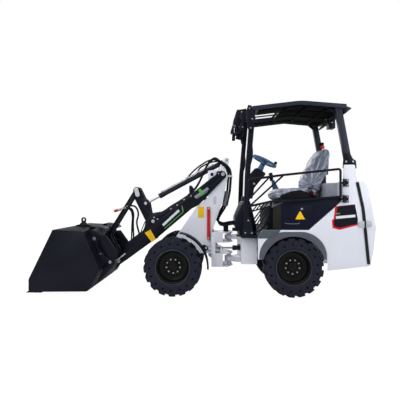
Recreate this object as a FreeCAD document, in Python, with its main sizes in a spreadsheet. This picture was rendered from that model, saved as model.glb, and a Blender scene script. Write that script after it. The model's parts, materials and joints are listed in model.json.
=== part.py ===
"""Compact electric wheel loader with an articulated frame, a canopy and a bucket.

Millimetres, +X forward (bucket), +Y to the driver's left, +Z up, the ground at Z 0 and the
origin under the middle of the machine.
"""
import FreeCAD
import Part
import Sketcher
import math
import os

V = FreeCAD.Vector

# Driving sizes: alias, value, what it is.
SIZES = [
    ("tyre_radius", 345, "outside radius of a tyre"),
    ("tyre_width", 215, "width of a tyre"),
    ("rim_radius", 184, "radius where a tyre sits on its rim"),
    ("track_half", 502, "middle plane of the machine to the middle of a tyre"),
    ("front_axle_x", 352, "front axle along the machine"),
    ("rear_axle_x", -1055, "rear axle along the machine"),
    ("spindle_radius", 40, "axle spindle that a rim turns on"),
    ("running_fit", 0.06, "radial clearance of every pin and shaft"),
    ("axle_tube_radius", 52, "axle tubes"),
    ("housing_radius", 105, "axle housing in the middle"),
    ("articulation_x", -330, "vertical hinge between the two frames"),
    ("articulation_pin_radius", 28, "pins of that hinge"),
    ("plate", 12, "frame and boom plate thickness"),
    ("sheet_wall", 6, "body panel thickness"),
    ("front_mast_half", 100, "outside face of the mast plates"),
    ("fork_half", 200, "half width of the front frame's rear box"),
    ("upper_fork_top", 718, "top of the upper hinge fork"),
    ("upper_fork_low", 590, "underside of the upper hinge fork"),
    ("lower_fork_top", 455, "top of the lower hinge fork"),
    ("lower_fork_low", 283, "underside of the lower hinge fork"),
    ("chassis_front_x", -463, "front wall of the rear frame"),
    ("chassis_half", 400, "half width of the rear frame's front box"),
    ("spine_half", 300, "half width of the rear frame between the wheels"),
    ("body_half", 590, "outside face of the body's side panels"),
    ("boom_inner", 112, "inside face of the boom's side plates"),
    ("boom_plate", 16, "thickness of the boom's side plates"),
    ("boom_pivot_x", -248, "boom hinge along the machine"),
    ("boom_pivot_z", 1463, "boom hinge height"),
    ("boom_pin_radius", 25, "boom hinge pin"),
    ("lever_pivot_x", 655, "tilt lever's hinge on the boom"),
    ("lever_pivot_z", 856, "tilt lever's hinge height"),
    ("coupler_pivot_x", 1104, "coupler's hinge at the boom's end"),
    ("coupler_pivot_z", 341, "coupler's hinge height"),
    ("lever_top_x", 885, "link pin at the lever's top"),
    ("lever_top_z", 1263, "link pin's height"),
    ("lever_mid_x", 765, "tilt rod's pin on the lever"),
    ("lever_mid_z", 1087, "tilt rod's pin height"),
    ("link_low_x", 1256, "link pin on the coupler"),
    ("link_low_z", 666, "that pin's height"),
    ("tilt_anchor_x", -300, "tilt cylinder's rear pin"),
    ("tilt_anchor_z", 1655, "that pin's height"),
    ("lift_base_x", -118, "lift cylinder's lower pin"),
    ("lift_base_z", 563, "that pin's height"),
    ("lift_top_x", -8, "lift cylinder's upper pin on the boom"),
    ("lift_top_z", 1213, "that pin's height"),
    ("steer_base_x", -640, "steering cylinder's pin on the rear frame"),
    ("steer_base_y", 120, "that pin's distance from the middle plane"),
    ("steer_eye_x", -220, "steering cylinder's pin on the front frame"),
    ("steer_eye_y", 170, "that pin's distance from the middle plane"),
    ("steer_z", 520, "height of the steering cylinder"),
    ("link_pin_radius", 18, "pins of the tilt linkage"),
    ("eye_half", 16, "half thickness of rod eyes and of the link"),
    ("side_gap", 6, "free gap beside a rod eye"),
    ("tilt_eye_half", 36, "half width of the tilt cylinder's eyes"),
    ("bucket_half", 650, "half width of the bucket"),
    ("bucket_wall", 10, "bucket plate thickness"),
    ("hook_half", 400, "outside face of the bucket's hook plates"),
    ("bucket_tip_x", 2065, "cutting edge"),
    ("bucket_tip_z", 50, "underside of the cutting edge above the ground"),
    ("hood_rear_x", -1988, "rearmost line of the hood"),
    ("floor_z", 700, "top of the driver's floor"),
    ("floor_half", 540, "half width of the driver's floor"),
    ("post_half", 500, "canopy posts to the middle plane"),
    ("post_width", 56, "canopy posts across the machine"),
    ("post_depth", 62, "front posts along the machine"),
    ("lamp_half", 300, "front lamps from the middle plane"),
    ("rear_post_depth", 78, "rear posts along the machine"),
    ("roof_half", 545, "half width of the canopy roof"),
    ("roof_beam", 46, "depth of the roof's edge"),
    ("seat_half", 235, "half width of the seat"),
    ("gate_y", 612, "side gate's tube to the middle plane"),
    ("gate_tube_radius", 14, "side gate's main tube"),
    ("gate_bar_radius", 7, "side gate's thin bars"),
    ("hose_radius", 12, "hydraulic hoses on the boom"),
    ("bundle_radius", 26, "hose bundle over the hinge"),
]

doc = FreeCAD.newDocument("wheel_loader")
sheet = doc.addObject("Spreadsheet::Sheet", "sizes")
for row, (alias, value, meaning) in enumerate(SIZES, start=1):
    sheet.set("A%d" % row, str(value))
    sheet.setAlias("A%d" % row, alias)
    sheet.set("B%d" % row, meaning)
doc.recompute()


def size(alias):
    """One driving size from the sheet."""
    return float(sheet.get(alias))


NODES = []


def node(thing, label):
    """Give a finished sub-part the name of its file."""
    thing.Label = label
    NODES.append(thing)
    return thing


# ---------------------------------------------------------------- building blocks


def corner_arcs(points):
    """Edges of a closed outline; a point (a, b, r) has its corner rounded to radius r."""
    flat = [V(p[0], p[1], 0) for p in points]
    radii = [p[2] if len(p) > 2 else 0 for p in points]
    joints = []
    count = len(flat)
    for i in range(count):
        here = flat[i]
        if radii[i] == 0:
            joints.append((here, None, here))
            continue
        back = (flat[i - 1] - here).normalize()
        ahead = (flat[(i + 1) % count] - here).normalize()
        half = back.getAngle(ahead) / 2
        reach = radii[i] / math.tan(half)
        middle = (back + ahead).normalize()
        centre = here + middle * (radii[i] / math.sin(half))
        joints.append((here + back * reach, centre - middle * radii[i], here + ahead * reach))
    edges = []
    for i in range(count):
        start, mid, end = joints[i]
        if mid is not None:
            edges.append(Part.Arc(start, mid, end))
        following = joints[(i + 1) % count][0]
        if end.distanceToPoint(following) > 1e-6:
            edges.append(Part.LineSegment(end, following))
    return edges


def plane_of(body, role):
    """The body's own origin plane."""
    return next(f for f in body.Origin.OriginFeatures if f.Role == role)


def sketch_on(body, role, points, circles=()):
    """A sketch on one of the body's planes with one closed outline and round holes."""
    sketch = body.newObject("Sketcher::SketchObject", "outline")
    sketch.AttachmentSupport = [(plane_of(body, role), "")]
    sketch.MapMode = "FlatFace"
    for edge in corner_arcs(points):
        sketch.addGeometry(edge, False)
    for a, b, radius in circles:
        index = sketch.addGeometry(Part.Circle(V(a, b, 0), V(0, 0, 1), 5), False)
        constraint = sketch.addConstraint(sketcher_radius(index, radius))
        if isinstance(radius, str):
            sketch.setExpression("Constraints[%d]" % constraint, "sizes." + radius)
    return sketch


def sketcher_radius(index, radius):
    """A radius constraint with the value of a number or of a named size."""
    value = size(radius) if isinstance(radius, str) else radius
    return Sketcher.Constraint("Radius", index, value)


def bound(text):
    """An expression in the sheet's sizes: names stay as they are and get the sheet in front."""
    words = text.replace("(", " ( ").replace(")", " ) ").split()
    known = [alias for alias, value, meaning in SIZES]
    return "".join("sizes." + w if w in known else w for w in words)


def side_plate(name, points, y_low, y_high, circles=(), thick=None):
    """A plate whose outline lies in XZ and which fills Y from y_low to y_high."""
    body = doc.addObject("PartDesign::Body", name)
    sketch = sketch_on(body, "XZ_Plane", points, circles)
    pad = body.newObject("PartDesign::Pad", "thickness")
    pad.Profile = sketch
    pad.Length = y_high - y_low
    if thick:
        pad.setExpression("Length", bound(thick))
    body.Placement = FreeCAD.Placement(V(0, y_high, 0), FreeCAD.Rotation())
    return body


def floor_shape(name, points, z_low, z_high, circles=(), thick=None):
    """A plate whose outline lies in XY and which fills Z from z_low to z_high."""
    body = doc.addObject("PartDesign::Body", name)
    sketch = sketch_on(body, "XY_Plane", points, circles)
    pad = body.newObject("PartDesign::Pad", "thickness")
    pad.Profile = sketch
    pad.Length = z_high - z_low
    if thick:
        pad.setExpression("Length", bound(thick))
    body.Placement = FreeCAD.Placement(V(0, 0, z_low), FreeCAD.Rotation())
    return body


def turned(name, points, centre, flip=False):
    """A body of revolution about Y: points are (radius, distance along Y)."""
    body = doc.addObject("PartDesign::Body", name)
    sketch = sketch_on(body, "XY_Plane", points)
    ring = body.newObject("PartDesign::Revolution", "turned")
    ring.Profile = sketch
    ring.ReferenceAxis = (sketch, ["V_Axis"])
    ring.Angle = 360
    turn = FreeCAD.Rotation(V(0, 0, 1), 180 if flip else 0)
    body.Placement = FreeCAD.Placement(centre, turn)
    return body


def box(name, low, high):
    """A block between two corners."""
    block = doc.addObject("Part::Box", name)
    block.Length = high[0] - low[0]
    block.Width = high[1] - low[1]
    block.Height = high[2] - low[2]
    block.Placement = FreeCAD.Placement(V(*low), FreeCAD.Rotation())
    return block


def rod(name, start, end, radius):
    """A round bar between two points; radius is a number or a bound expression."""
    bar = doc.addObject("Part::Cylinder", name)
    run = V(*end) - V(*start)
    bar.Height = run.Length
    if isinstance(radius, str):
        bar.setExpression("Radius", bound(radius))
    else:
        bar.Radius = radius
    bar.Placement = FreeCAD.Placement(V(*start), FreeCAD.Rotation(V(0, 0, 1), run))
    return bar


def joined(name, pieces):
    """Several shapes as one solid."""
    fuse = doc.addObject("Part::MultiFuse", name)
    fuse.Shapes = pieces
    fuse.Refine = True
    return fuse


def without(name, base, tools):
    """A shape with others cut out of it."""
    tool = tools[0] if len(tools) == 1 else joined(name + "_tools", tools)
    cut = doc.addObject("Part::Cut", name)
    cut.Base = base
    cut.Tool = tool
    cut.Refine = True
    return cut


def bent_tube(name, points, radius):
    """A round tube along straight runs joined by tangent arcs as large as the runs allow."""
    route = [V(*p) for p in points]
    edges = []
    at = route[0]
    for i in range(1, len(route) - 1):
        back = route[i - 1] - route[i]
        ahead = route[i + 1] - route[i]
        turn = math.pi - back.getAngle(ahead)
        if turn < 0.01:
            continue
        reach = 0.45 * min(back.Length, ahead.Length)
        bend = reach / math.tan(turn / 2)
        back.normalize()
        ahead.normalize()
        middle = (back + ahead).normalize()
        away = bend / math.cos(turn / 2) - bend
        start = route[i] + back * reach
        edges.append(Part.LineSegment(at, start).toShape())
        edges.append(Part.Arc(start, route[i] + middle * away, route[i] + ahead * reach).toShape())
        at = route[i] + ahead * reach
    edges.append(Part.LineSegment(at, route[-1]).toShape())
    spine = Part.Wire(edges)
    first = (route[1] - route[0]).normalize()
    section = Part.Wire([Part.makeCircle(radius, route[0], first)])
    tube = doc.addObject("Part::Feature", name)
    tube.Shape = spine.makePipeShell([section], True, True)
    ideal = math.pi * radius * radius * spine.Length
    if abs(tube.Shape.Volume - ideal) > 0.02 * ideal:
        raise ValueError("%s: tube volume is off" % name)
    return tube


def ear_outline(centre, root_a, root_b, radius):
    """A lug: a round end at centre that widens to two root points (all in one plane)."""
    ax, az = centre
    width = V(root_b[0] - root_a[0], root_b[1] - root_a[1], 0).normalize()
    outward = V(-width.y, width.x, 0)
    middle = V((root_a[0] + root_b[0]) / 2 - ax, (root_a[1] + root_b[1]) / 2 - az, 0)
    if outward.dot(middle) > 0:
        outward = outward * -1
    near_a = V(ax, az, 0) - width * radius + outward * radius
    near_b = V(ax, az, 0) + width * radius + outward * radius
    return [root_a, (near_a.x, near_a.y, radius * 0.98), (near_b.x, near_b.y, radius * 0.98), root_b]


# ---------------------------------------------------------------- named places

SIDES = {"left": 1, "right": -1}
HINGE_X = -1618
GATE_HINGES = (1143, 1328)
DECK_Z = 1345
HOOD_HINGE = (-1784, 1359)
ROOF_SEAT_Z = 2180
FRONT_HEAD_X = -590
REAR_HEAD_X = -1590
KNEE_Z = 1491
COLUMN_FOOT = V(-545, 0, 1150)
COLUMN_TOP = V(-775, 0, 1600)
FIT = size("running_fit")
PLATE = size("plate")
WALL = size("sheet_wall")
TYRE_R = size("tyre_radius")
PIN = size("link_pin_radius")
EYE = size("eye_half")
GAP = size("side_gap")
EARS = EYE + GAP
TILT_EYE = size("tilt_eye_half")
TILT_EARS = TILT_EYE + GAP
BOOM_PIVOT = (size("boom_pivot_x"), size("boom_pivot_z"))
LEVER_PIVOT = (size("lever_pivot_x"), size("lever_pivot_z"))
LEVER_TOP = (size("lever_top_x"), size("lever_top_z"))
LEVER_MID = (size("lever_mid_x"), size("lever_mid_z"))
COUPLER_PIVOT = (size("coupler_pivot_x"), size("coupler_pivot_z"))
LINK_LOW = (size("link_low_x"), size("link_low_z"))
TILT_ANCHOR = (size("tilt_anchor_x"), size("tilt_anchor_z"))
HOOK = (COUPLER_PIVOT[0] + 182, COUPLER_PIVOT[1] + 316)
LOCK = (COUPLER_PIVOT[0] + 37, COUPLER_PIVOT[1] + 28)
LIFT_BASE = (size("lift_base_x"), size("lift_base_z"))
LIFT_TOP = (size("lift_top_x"), size("lift_top_z"))
BOOM_IN = size("boom_inner")
BOOM_OUT = BOOM_IN + size("boom_plate")
MAST_OUT = size("front_mast_half")
MAST_IN = MAST_OUT - PLATE
LINK_IN = TILT_EARS + PLATE + GAP
LINK_OUT = LINK_IN + PLATE


def across(name, place, half, radius):
    """A pin or tube along Y through a place in the XZ plane."""
    return rod(name, (place[0], -half, place[1]), (place[0], half, place[1]), radius)


def stub_pins(name, place, inner, outer, radius):
    """Two short pins that end beside a rod eye and leave it free."""
    pins = []
    for side in SIDES.values():
        start = (place[0], side * inner, place[1])
        end = (place[0], side * outer, place[1])
        pins.append(rod(name, start, end, radius))
    return pins


# ---------------------------------------------------------------- wheels and axles


def wheel(corner, axle_x, side):
    """A solid tyre and its dished rim, which turn together on the axle's spindle."""
    flip = side < 0
    centre = V(axle_x, side * size("track_half"), TYRE_R)
    half = size("tyre_width") / 2
    bead = size("rim_radius") + 0.3
    seat = half - 34.3
    lap = half - 20.3
    tread = [
        (bead, -seat),
        (bead + 20, -lap),
        (bead + 36, -half + 4, 10),
        (TYRE_R - 42, -half, 14),
        (TYRE_R, -half + 26, 16),
        (TYRE_R, half - 26, 16),
        (TYRE_R - 42, half, 14),
        (bead + 36, half - 4, 10),
        (bead + 20, lap),
        (bead, seat),
    ]
    node(turned("tyre", tread, centre, flip), "tyre_" + corner)
    lip = size("rim_radius")
    bore = size("spindle_radius") + FIT
    barrel = lip - 12
    dish = 6
    profile = [
        (bore, dish - 62),
        (92, dish - 62),
        (92, dish - 22),
        (118, dish - 12, 10),
        (barrel - 8, dish - 12, 10),
        (barrel, dish - 40, 8),
        (barrel, -half + 34),
        (lip + 0, -half + 34),
        (lip, half - 34),
        (lip + 20, half - 20),
        (lip + 20, half - 10, 3),
        (lip - 4, half - 10, 3),
        (barrel, half - 30, 4),
        (barrel, dish + 20, 12),
        (118, dish, 14),
        (62, dish + 16, 6),
        (62, dish + 30, 5),
        (0, dish + 30),
        (0, dish + 14),
        (bore, dish + 14),
    ]
    node(turned("rim", profile, centre, flip), "rim_" + corner)


def axle(label, axle_x, seat_z, pad_half):
    """Axle beam: housing, two tubes, hub flanges, spindles and the pads that carry a frame."""
    hub = size("track_half") + 6 - 62 - 3
    spindle_end = size("track_half") + 6 + 14 - 4
    beam = across("tubes", (axle_x, TYRE_R), hub - 14, "axle_tube_radius")
    flanges = [
        rod("flange", (axle_x, s * (hub - 14), TYRE_R), (axle_x, s * hub, TYRE_R), 88)
        for s in SIDES.values()
    ]
    spindle = across("spindle", (axle_x, TYRE_R), spindle_end, "spindle_radius")
    housing = across("housing", (axle_x, TYRE_R), 80, "housing_radius")
    motor = rod("motor", (axle_x, 0, TYRE_R), (axle_x - 190, 0, TYRE_R), 78)
    pads = [
        box(
            "pad",
            (axle_x - 60, s * pad_half - 32, TYRE_R - 30),
            (axle_x + 60, s * pad_half + 32, seat_z),
        )
        for s in SIDES.values()
    ]
    node(joined(label + "_solid", [beam, spindle, housing, motor] + flanges + pads), label)


# ---------------------------------------------------------------- front frame


def mast_outline():
    """One mast plate: boom hinge at the top, sloping front edge, seat on the axle below."""
    ox, oz = BOOM_PIVOT
    foot = size("lower_fork_top")
    return [
        (ox - 62, oz - 40, 20),
        (ox - 52, oz + 40, 30),
        (ox + 44, oz + 62, 40),
        (ox + 192, oz + 47, 10),
        (ox + 192, oz - 60, 30),
        (ox + 172, oz - 173, 60),
        (ox + 192, oz - 300, 60),
        (95, 1036, 40),
        (363, 650, 30),
        (420, foot, 20),
        (-150, foot),
        (-108, size("upper_fork_top"), 30),
        (-237, 1093, 200),
    ]


def front_frame():
    """Mast plates, the box with the two hinge forks, the tilt anchor and cylinder ears."""
    ox, oz = BOOM_PIVOT
    hinge_x = size("articulation_x")
    half = size("fork_half")
    foot = size("lower_fork_top")
    pieces = []
    hole = (ox + 140, oz - 1, 22)
    for side in SIDES.values():
        low = side * (MAST_IN + MAST_OUT) / 2 - PLATE / 2
        pieces.append(side_plate("mast", mast_outline(), low, low + PLATE, [hole], "plate"))
    nose = [
        (hinge_x + 230, half),
        (hinge_x + 30, half, 20),
        (hinge_x - 46, 60, 20),
        (hinge_x - 46, -60, 20),
        (hinge_x + 30, -half, 20),
        (hinge_x + 230, -half),
    ]
    levels = [
        size("upper_fork_top") - PLATE,
        size("upper_fork_low"),
        size("lower_fork_top") - PLATE,
        size("lower_fork_low"),
    ]
    pin_hole = [(hinge_x, 0, "articulation_pin_radius")]
    for z in levels:
        fork = floor_shape("fork", nose, z, z + PLATE, pin_hole, "plate")
        if z > size("lower_fork_top"):
            slot = box("lift_slot", (hinge_x + 155, -48, z - 1), (hinge_x + 240, 48, z + PLATE + 1))
            fork = without("slotted_fork", fork, [slot])
        pieces.append(fork)
    spans = [
        (size("upper_fork_low"), size("upper_fork_top")),
        (size("lower_fork_low"), size("lower_fork_top")),
    ]
    for z_low, z_high in spans:
        for side in SIDES.values():
            y = side * (half - PLATE / 2)
            low = (hinge_x + 85, y - PLATE / 2, z_low)
            high = (hinge_x + 230, y + PLATE / 2, z_high)
            pieces.append(box("fork_side", low, high))
        pieces.append(box("fork_back", (hinge_x + 85, -half, z_low), (hinge_x + 97, half, z_high)))
    for side in SIDES.values():
        low, high = sorted((side * half, side * (half - PLATE)))
        pieces.append(box("side_wall", (-150, low, foot), (-100, high, size("upper_fork_low"))))
    pieces.append(box("axle_seat", (-120, -half, foot), (430, half, foot + PLATE)))
    pieces.append(box("front_tie", (300, -MAST_IN, 470), (312, MAST_IN, 690)))
    pieces.append(box("mast_tie", (-250, -MAST_IN, 1290), (-130, MAST_IN, 1302)))
    pieces.append(box("hose_stand", (-318, -34, size("upper_fork_top")), (-262, 34, 792)))
    pieces.append(box("hose_clamp", (-324.6, -TILT_EARS, 1440), (-282, TILT_EARS, 1470)))
    lug = [
        (ox - 8, oz - 161),
        (ox - 40, oz + 30, 40),
        (TILT_ANCHOR[0] - 34, TILT_ANCHOR[1] - 10, 30),
        (TILT_ANCHOR[0] - 20, TILT_ANCHOR[1] + 34, 28),
        (TILT_ANCHOR[0] + 34, TILT_ANCHOR[1] + 24, 26),
        (ox + 90, oz + 20, 40),
        (ox + 100, oz - 161),
    ]
    ear = ear_outline(LIFT_BASE, (-60, 460), (-176, 460), 34)
    for side in SIDES.values():
        low = side * (TILT_EARS + PLATE / 2) - PLATE / 2
        pieces.append(side_plate("tilt_lug", lug, low, low + PLATE, (), "plate"))
        low = side * (EARS + PLATE / 2) - PLATE / 2
        pieces.append(side_plate("lift_ear", ear, low, low + PLATE, (), "plate"))
    pieces += [
        across("boom_pin", BOOM_PIVOT, BOOM_OUT + 8, "boom_pin_radius"),
        across("tilt_pin", TILT_ANCHOR, TILT_EARS + PLATE + 6, "link_pin_radius"),
        across("lift_pin", LIFT_BASE, EARS + PLATE + 6, "link_pin_radius"),
    ]
    for z_low, z_high in spans:
        start = (hinge_x, 0, z_low - 4)
        end = (hinge_x, 0, z_high + 6)
        pieces.append(rod("hinge_pin", start, end, "articulation_pin_radius"))
    pieces += steering_ears()
    node(joined("front_frame_solid", pieces), "front_frame")


def steering_ears():
    """Two ears on the left mast plate that the steering rod's eye works between."""
    eye_x = size("steer_eye_x")
    eye_y = size("steer_eye_y")
    z = size("steer_z")
    root = [(-140, MAST_OUT), (-40, MAST_OUT), (eye_x + 20, eye_y + 28, 24), (eye_x - 30, eye_y, 24)]
    ears = []
    for z_low in (z - EARS - PLATE, z + EARS):
        ears.append(floor_shape("steer_ear", root, z_low, z_low + PLATE, (), "plate"))
    web_low = (-110, MAST_OUT - 4, z - EARS - PLATE)
    web_high = (-60, MAST_OUT + 12, z + EARS + PLATE)
    ears.append(box("steer_web", web_low, web_high))
    return ears


def mudguard(side_name, side):
    """Curved guard behind a front wheel, on a bracket from the front frame."""
    axle_x = size("front_axle_x") - 12
    inner = TYRE_R + 53
    outer = inner + 9
    y_mid = side * (size("track_half") + 2)
    width = size("tyre_width") - 20
    ring = rod("guard", (axle_x, y_mid - width / 2, TYRE_R), (axle_x, y_mid + width / 2, TYRE_R), outer)
    bore = rod("bore", (axle_x, y_mid - width, TYRE_R), (axle_x, y_mid + width, TYRE_R), inner)
    keep = side_plate(
        "sector",
        [(axle_x, TYRE_R), (axle_x - 700, TYRE_R - 40), (axle_x - 700, 1500), (axle_x - 190, 1500)],
        y_mid - width,
        y_mid + width,
    )
    shell = without("guard_shell", ring, [bore])
    common = doc.addObject("Part::Common", "guard_piece")
    common.Base = shell
    common.Tool = keep
    reach = outer + 0.5
    bracket_x = axle_x - reach * math.cos(math.radians(24))
    bracket_z = TYRE_R + reach * math.sin(math.radians(24))
    inner_y = MAST_OUT + 0
    arm_low = (bracket_x - 3, min(side * inner_y, side * 560), bracket_z - 20)
    arm_high = (bracket_x + 47, max(side * inner_y, side * 560), bracket_z + 20)
    arm = without("guard_arm", box("arm", arm_low, arm_high), [
        rod("arm_bore", (axle_x, y_mid - 900, TYRE_R), (axle_x, y_mid + 900, TYRE_R), inner + 3)
    ])
    node(joined("mudguard_solid", [common, arm]), "mudguard_" + side_name)


def safety_strut():
    """Red boom prop, stored upright on the left mast plate."""
    y = MAST_OUT
    bar = box("bar", (-83, y + 8, 620), (-43, y + 30, 1042))
    pins = [
        rod("strut_pin", (-63, y, z), (-63, y + 36, z), 9)
        for z in (640, 1024)
    ]
    node(joined("safety_strut_solid", [bar] + pins), "safety_strut")


# ---------------------------------------------------------------- boom and tilt linkage


def boom_outline():
    """Side plate of the boom, cranked downwards to the coupler."""
    ox, oz = BOOM_PIVOT
    qx, qz = COUPLER_PIVOT
    px, pz = LEVER_PIVOT
    return [
        (ox - 58, oz - 16, 40),
        (ox + 10, oz + 62, 44),
        (168, 1205, 60),
        (329, 1113, 200),
        (px - 130, pz + 125, 60),
        (px + 20, pz + 105, 60),
        (px + 95, pz + 20, 60),
        (px + 118, pz - 108, 60),
        (970, 600, 80),
        (1060, 450, 100),
        (qx + 52, qz + 10, 48),
        (qx - 5, qz - 58, 44),
        (617, 633, 500),
        (168, 1014, 60),
        (73, 1061, 60),
    ]


def boom():
    """Two cranked side plates, their cross tubes and the pins of the tilt linkage."""
    pieces = []
    for side in SIDES.values():
        low = side * (BOOM_IN + BOOM_OUT) / 2 - size("boom_plate") / 2
        holes = [(BOOM_PIVOT[0], BOOM_PIVOT[1], size("boom_pin_radius") + FIT)]
        plate = side_plate("boom_side", boom_outline(), low, low + 16, holes, "boom_plate")
        pieces.append(plate)
    pieces.append(across("cross_tube", (250, 1085), BOOM_IN + 2, 38))
    pieces.append(across("front_tube", (900, 560), BOOM_IN + 2, 38))
    pieces.append(across("lever_pin", LEVER_PIVOT, BOOM_OUT + 8, 22))
    pieces.append(across("coupler_pin", COUPLER_PIVOT, BOOM_OUT + 14, 25))
    for place, end in ((LIFT_TOP, BOOM_IN + 2),):
        pieces += stub_pins("lift_stub", place, EARS, end, 20)
    node(joined("boom_solid", pieces), "boom")


def tilt_lever():
    """Twin lever on the boom that turns the tilt cylinder's push into the link's pull."""
    px, pz = LEVER_PIVOT
    tx, tz = LEVER_TOP
    ex, ez = LEVER_MID
    outline = [
        (px - 34, pz - 34, 32),
        (px + 40, pz - 34, 32),
        (px + 118, pz + 10, 40),
        (tx + 44, tz - 80, 60),
        (tx + 46, tz + 10, 34),
        (tx + 14, tz + 46, 34),
        (tx - 46, tz + 28, 34),
        (ex + 5, ez + 60, 20),
        (ex - 48, ez + 28, 30),
        (px + 34, pz + 110, 40),
    ]
    pieces = []
    for side in SIDES.values():
        low = side * (TILT_EARS + PLATE / 2) - PLATE / 2
        pieces.append(side_plate("lever_plate", outline, low, low + PLATE, (), "plate"))
    solid = joined("lever_body", pieces + [across("hub", LEVER_PIVOT, BOOM_IN - GAP, 36)])
    bored = without("lever_bored", solid, [across("lever_bore", LEVER_PIVOT, 300, 22 + FIT)])
    pins = stub_pins("top_stub", LEVER_TOP, TILT_EARS, LINK_OUT + 8, PIN)
    pins += stub_pins("mid_stub", LEVER_MID, TILT_EARS, LINK_IN - 2, PIN)
    node(joined("tilt_lever_solid", [bored] + pins), "tilt_lever")


def tilt_link():
    """Two bars outside the lever's plates, tied together, with a round eye at each end."""
    start = V(LEVER_TOP[0], 0, LEVER_TOP[1])
    end = V(LINK_LOW[0], 0, LINK_LOW[1])
    along = (end - start).normalize()
    aside = V(-along.z, 0, along.x) * 24
    corners = [start + aside, end + aside, end - aside, start - aside]
    pieces = []
    for side in SIDES.values():
        y_low = min(side * LINK_IN, side * LINK_OUT)
        y_high = max(side * LINK_IN, side * LINK_OUT)
        pieces.append(side_plate("bar", [(c.x, c.z) for c in corners], y_low, y_high, (), "plate"))
        for place in (LEVER_TOP, LINK_LOW):
            ends = (place[0], y_low, place[1]), (place[0], y_high, place[1])
            pieces.append(rod("eye", ends[0], ends[1], PIN + 18))
    brace = start + along * 520
    pieces.append(across("brace", (brace.x, brace.z), LINK_IN + 2, 14))
    bores = [
        across("top_bore", LEVER_TOP, LINK_OUT + 5, PIN + FIT),
        across("low_bore", LINK_LOW, LINK_OUT + 5, PIN + FIT),
    ]
    node(without("tilt_link_solid", joined("link_body", pieces), bores), "tilt_link")


def coupler():
    """Quick coupler: hinge tube, two shield plates, hook and lock pins and the link's ears."""
    qx, qz = COUPLER_PIVOT
    lx, lz = LINK_LOW
    face = size("hook_half") - PLATE
    ear = [
        (qx - 34, qz + 20, 30),
        (qx + 10, qz - 40, 30),
        (qx + 86, qz + 29, 20),
        (lx + 60, lz - 60, 20),
        (lx + 50, lz + 30, 26),
        (lx - 30, lz + 40, 30),
        (lx - 44, lz - 30, 30),
    ]
    shield = [
        (qx + 101, qz + 359, 20),
        (qx + 186, qz + 349, 24),
        (qx + 200, qz + 279, 40),
        (qx + 158, qz + 179, 120),
        (qx + 81, qz + 99, 60),
        (qx + 76, qz + 9, 24),
        (qx + 6, qz - 6, 24),
        (qx - 64, qz + 129, 40),
    ]
    pieces = [across("hinge_tube", COUPLER_PIVOT, BOOM_IN - GAP, 42)]
    for side in SIDES.values():
        low = side * (TILT_EARS + PLATE / 2) - PLATE / 2
        pieces.append(side_plate("link_ear", ear, low, low + PLATE, (), "plate"))
        low = side * (face - 4 - PLATE / 2) - PLATE / 2
        pieces.append(side_plate("shield", shield, low, low + PLATE, (), "plate"))
    pieces.append(across("lower_tie", (qx + 96, qz + 114), face - 10, 26))
    pieces.append(across("upper_tie", (qx + 158, qz + 219), face - 10, 22))
    pieces += stub_pins("hook_pin", HOOK, face - 60, face, 20)
    pieces += stub_pins("lock_pin", LOCK, face - 60, face, 16)
    pieces += stub_pins("link_pin", LINK_LOW, TILT_EARS, LINK_IN - 2, PIN)
    bore = across("coupler_bore", COUPLER_PIVOT, 300, 25 + FIT)
    node(without("coupler_solid", joined("coupler_body", pieces), [bore]), "coupler")


def bucket():
    """Open-fronted bucket with a flat floor, a curved back, side plates and hook plates."""
    wall = size("bucket_wall")
    half = size("bucket_half")
    tip_x = size("bucket_tip_x")
    tip_z = size("bucket_tip_z")
    side_outline = [
        (1402, 768, 10),
        (1749, 783, 6),
        (2033, 205, 10),
        (2033, tip_z + 18),
        (1329, tip_z + 26, 60),
        (1198, 303, 90),
    ]
    pieces = []
    for side in SIDES.values():
        low = side * (half - wall / 2) - wall / 2
        pieces.append(side_plate("cheek", side_outline, low, low + wall, (), "bucket_wall"))
    shell = [
        (1749, 783),
        (1402, 768, 10),
        (1198, 303, 90),
        (1329, tip_z + 18, 60),
        (2000, tip_z + 8),
        (2000, tip_z + 8 + wall),
        (1336, tip_z + 18 + wall, 52),
        (1198 + 11, 303 + 1, 80),
        (1402 + 7, 768 - wall, 6),
        (1749 + 4, 783 - wall),
    ]
    pieces.append(side_plate("shell", shell, -half, half))
    edge = [(1880, tip_z), (tip_x, tip_z), (tip_x, tip_z + 4), (2020, tip_z + 22), (1880, tip_z + 22)]
    pieces.append(side_plate("cutting_edge", edge, -half, half))
    hook = [
        (1405, 764),
        (1300, 740, 30),
        (1262, 690, 30),
        (1296, 600, 30),
        (1262, 493, 60),
        (1191, 428, 40),
        (1104, 404, 20),
        (1072, 366, 20),
        (1098, 322, 20),
        (1329, 88),
        (1206, 303),
    ]
    for side in SIDES.values():
        low = side * (size("hook_half") - PLATE / 2) - PLATE / 2
        pieces.append(side_plate("hook_plate", hook, low, low + PLATE, (), "plate"))
    lug = side_plate(
        "lifting_eye",
        [(1530, 770), (1690, 776), (1632, 815, 20), (1645, 900, 30), (1570, 900, 30), (1585, 815, 20)],
        -8,
        8,
        [(1607, 868, 14)],
    )
    pieces.append(lug)
    node(joined("bucket_solid", pieces), "bucket")


# ---------------------------------------------------------------- cylinders


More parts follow.
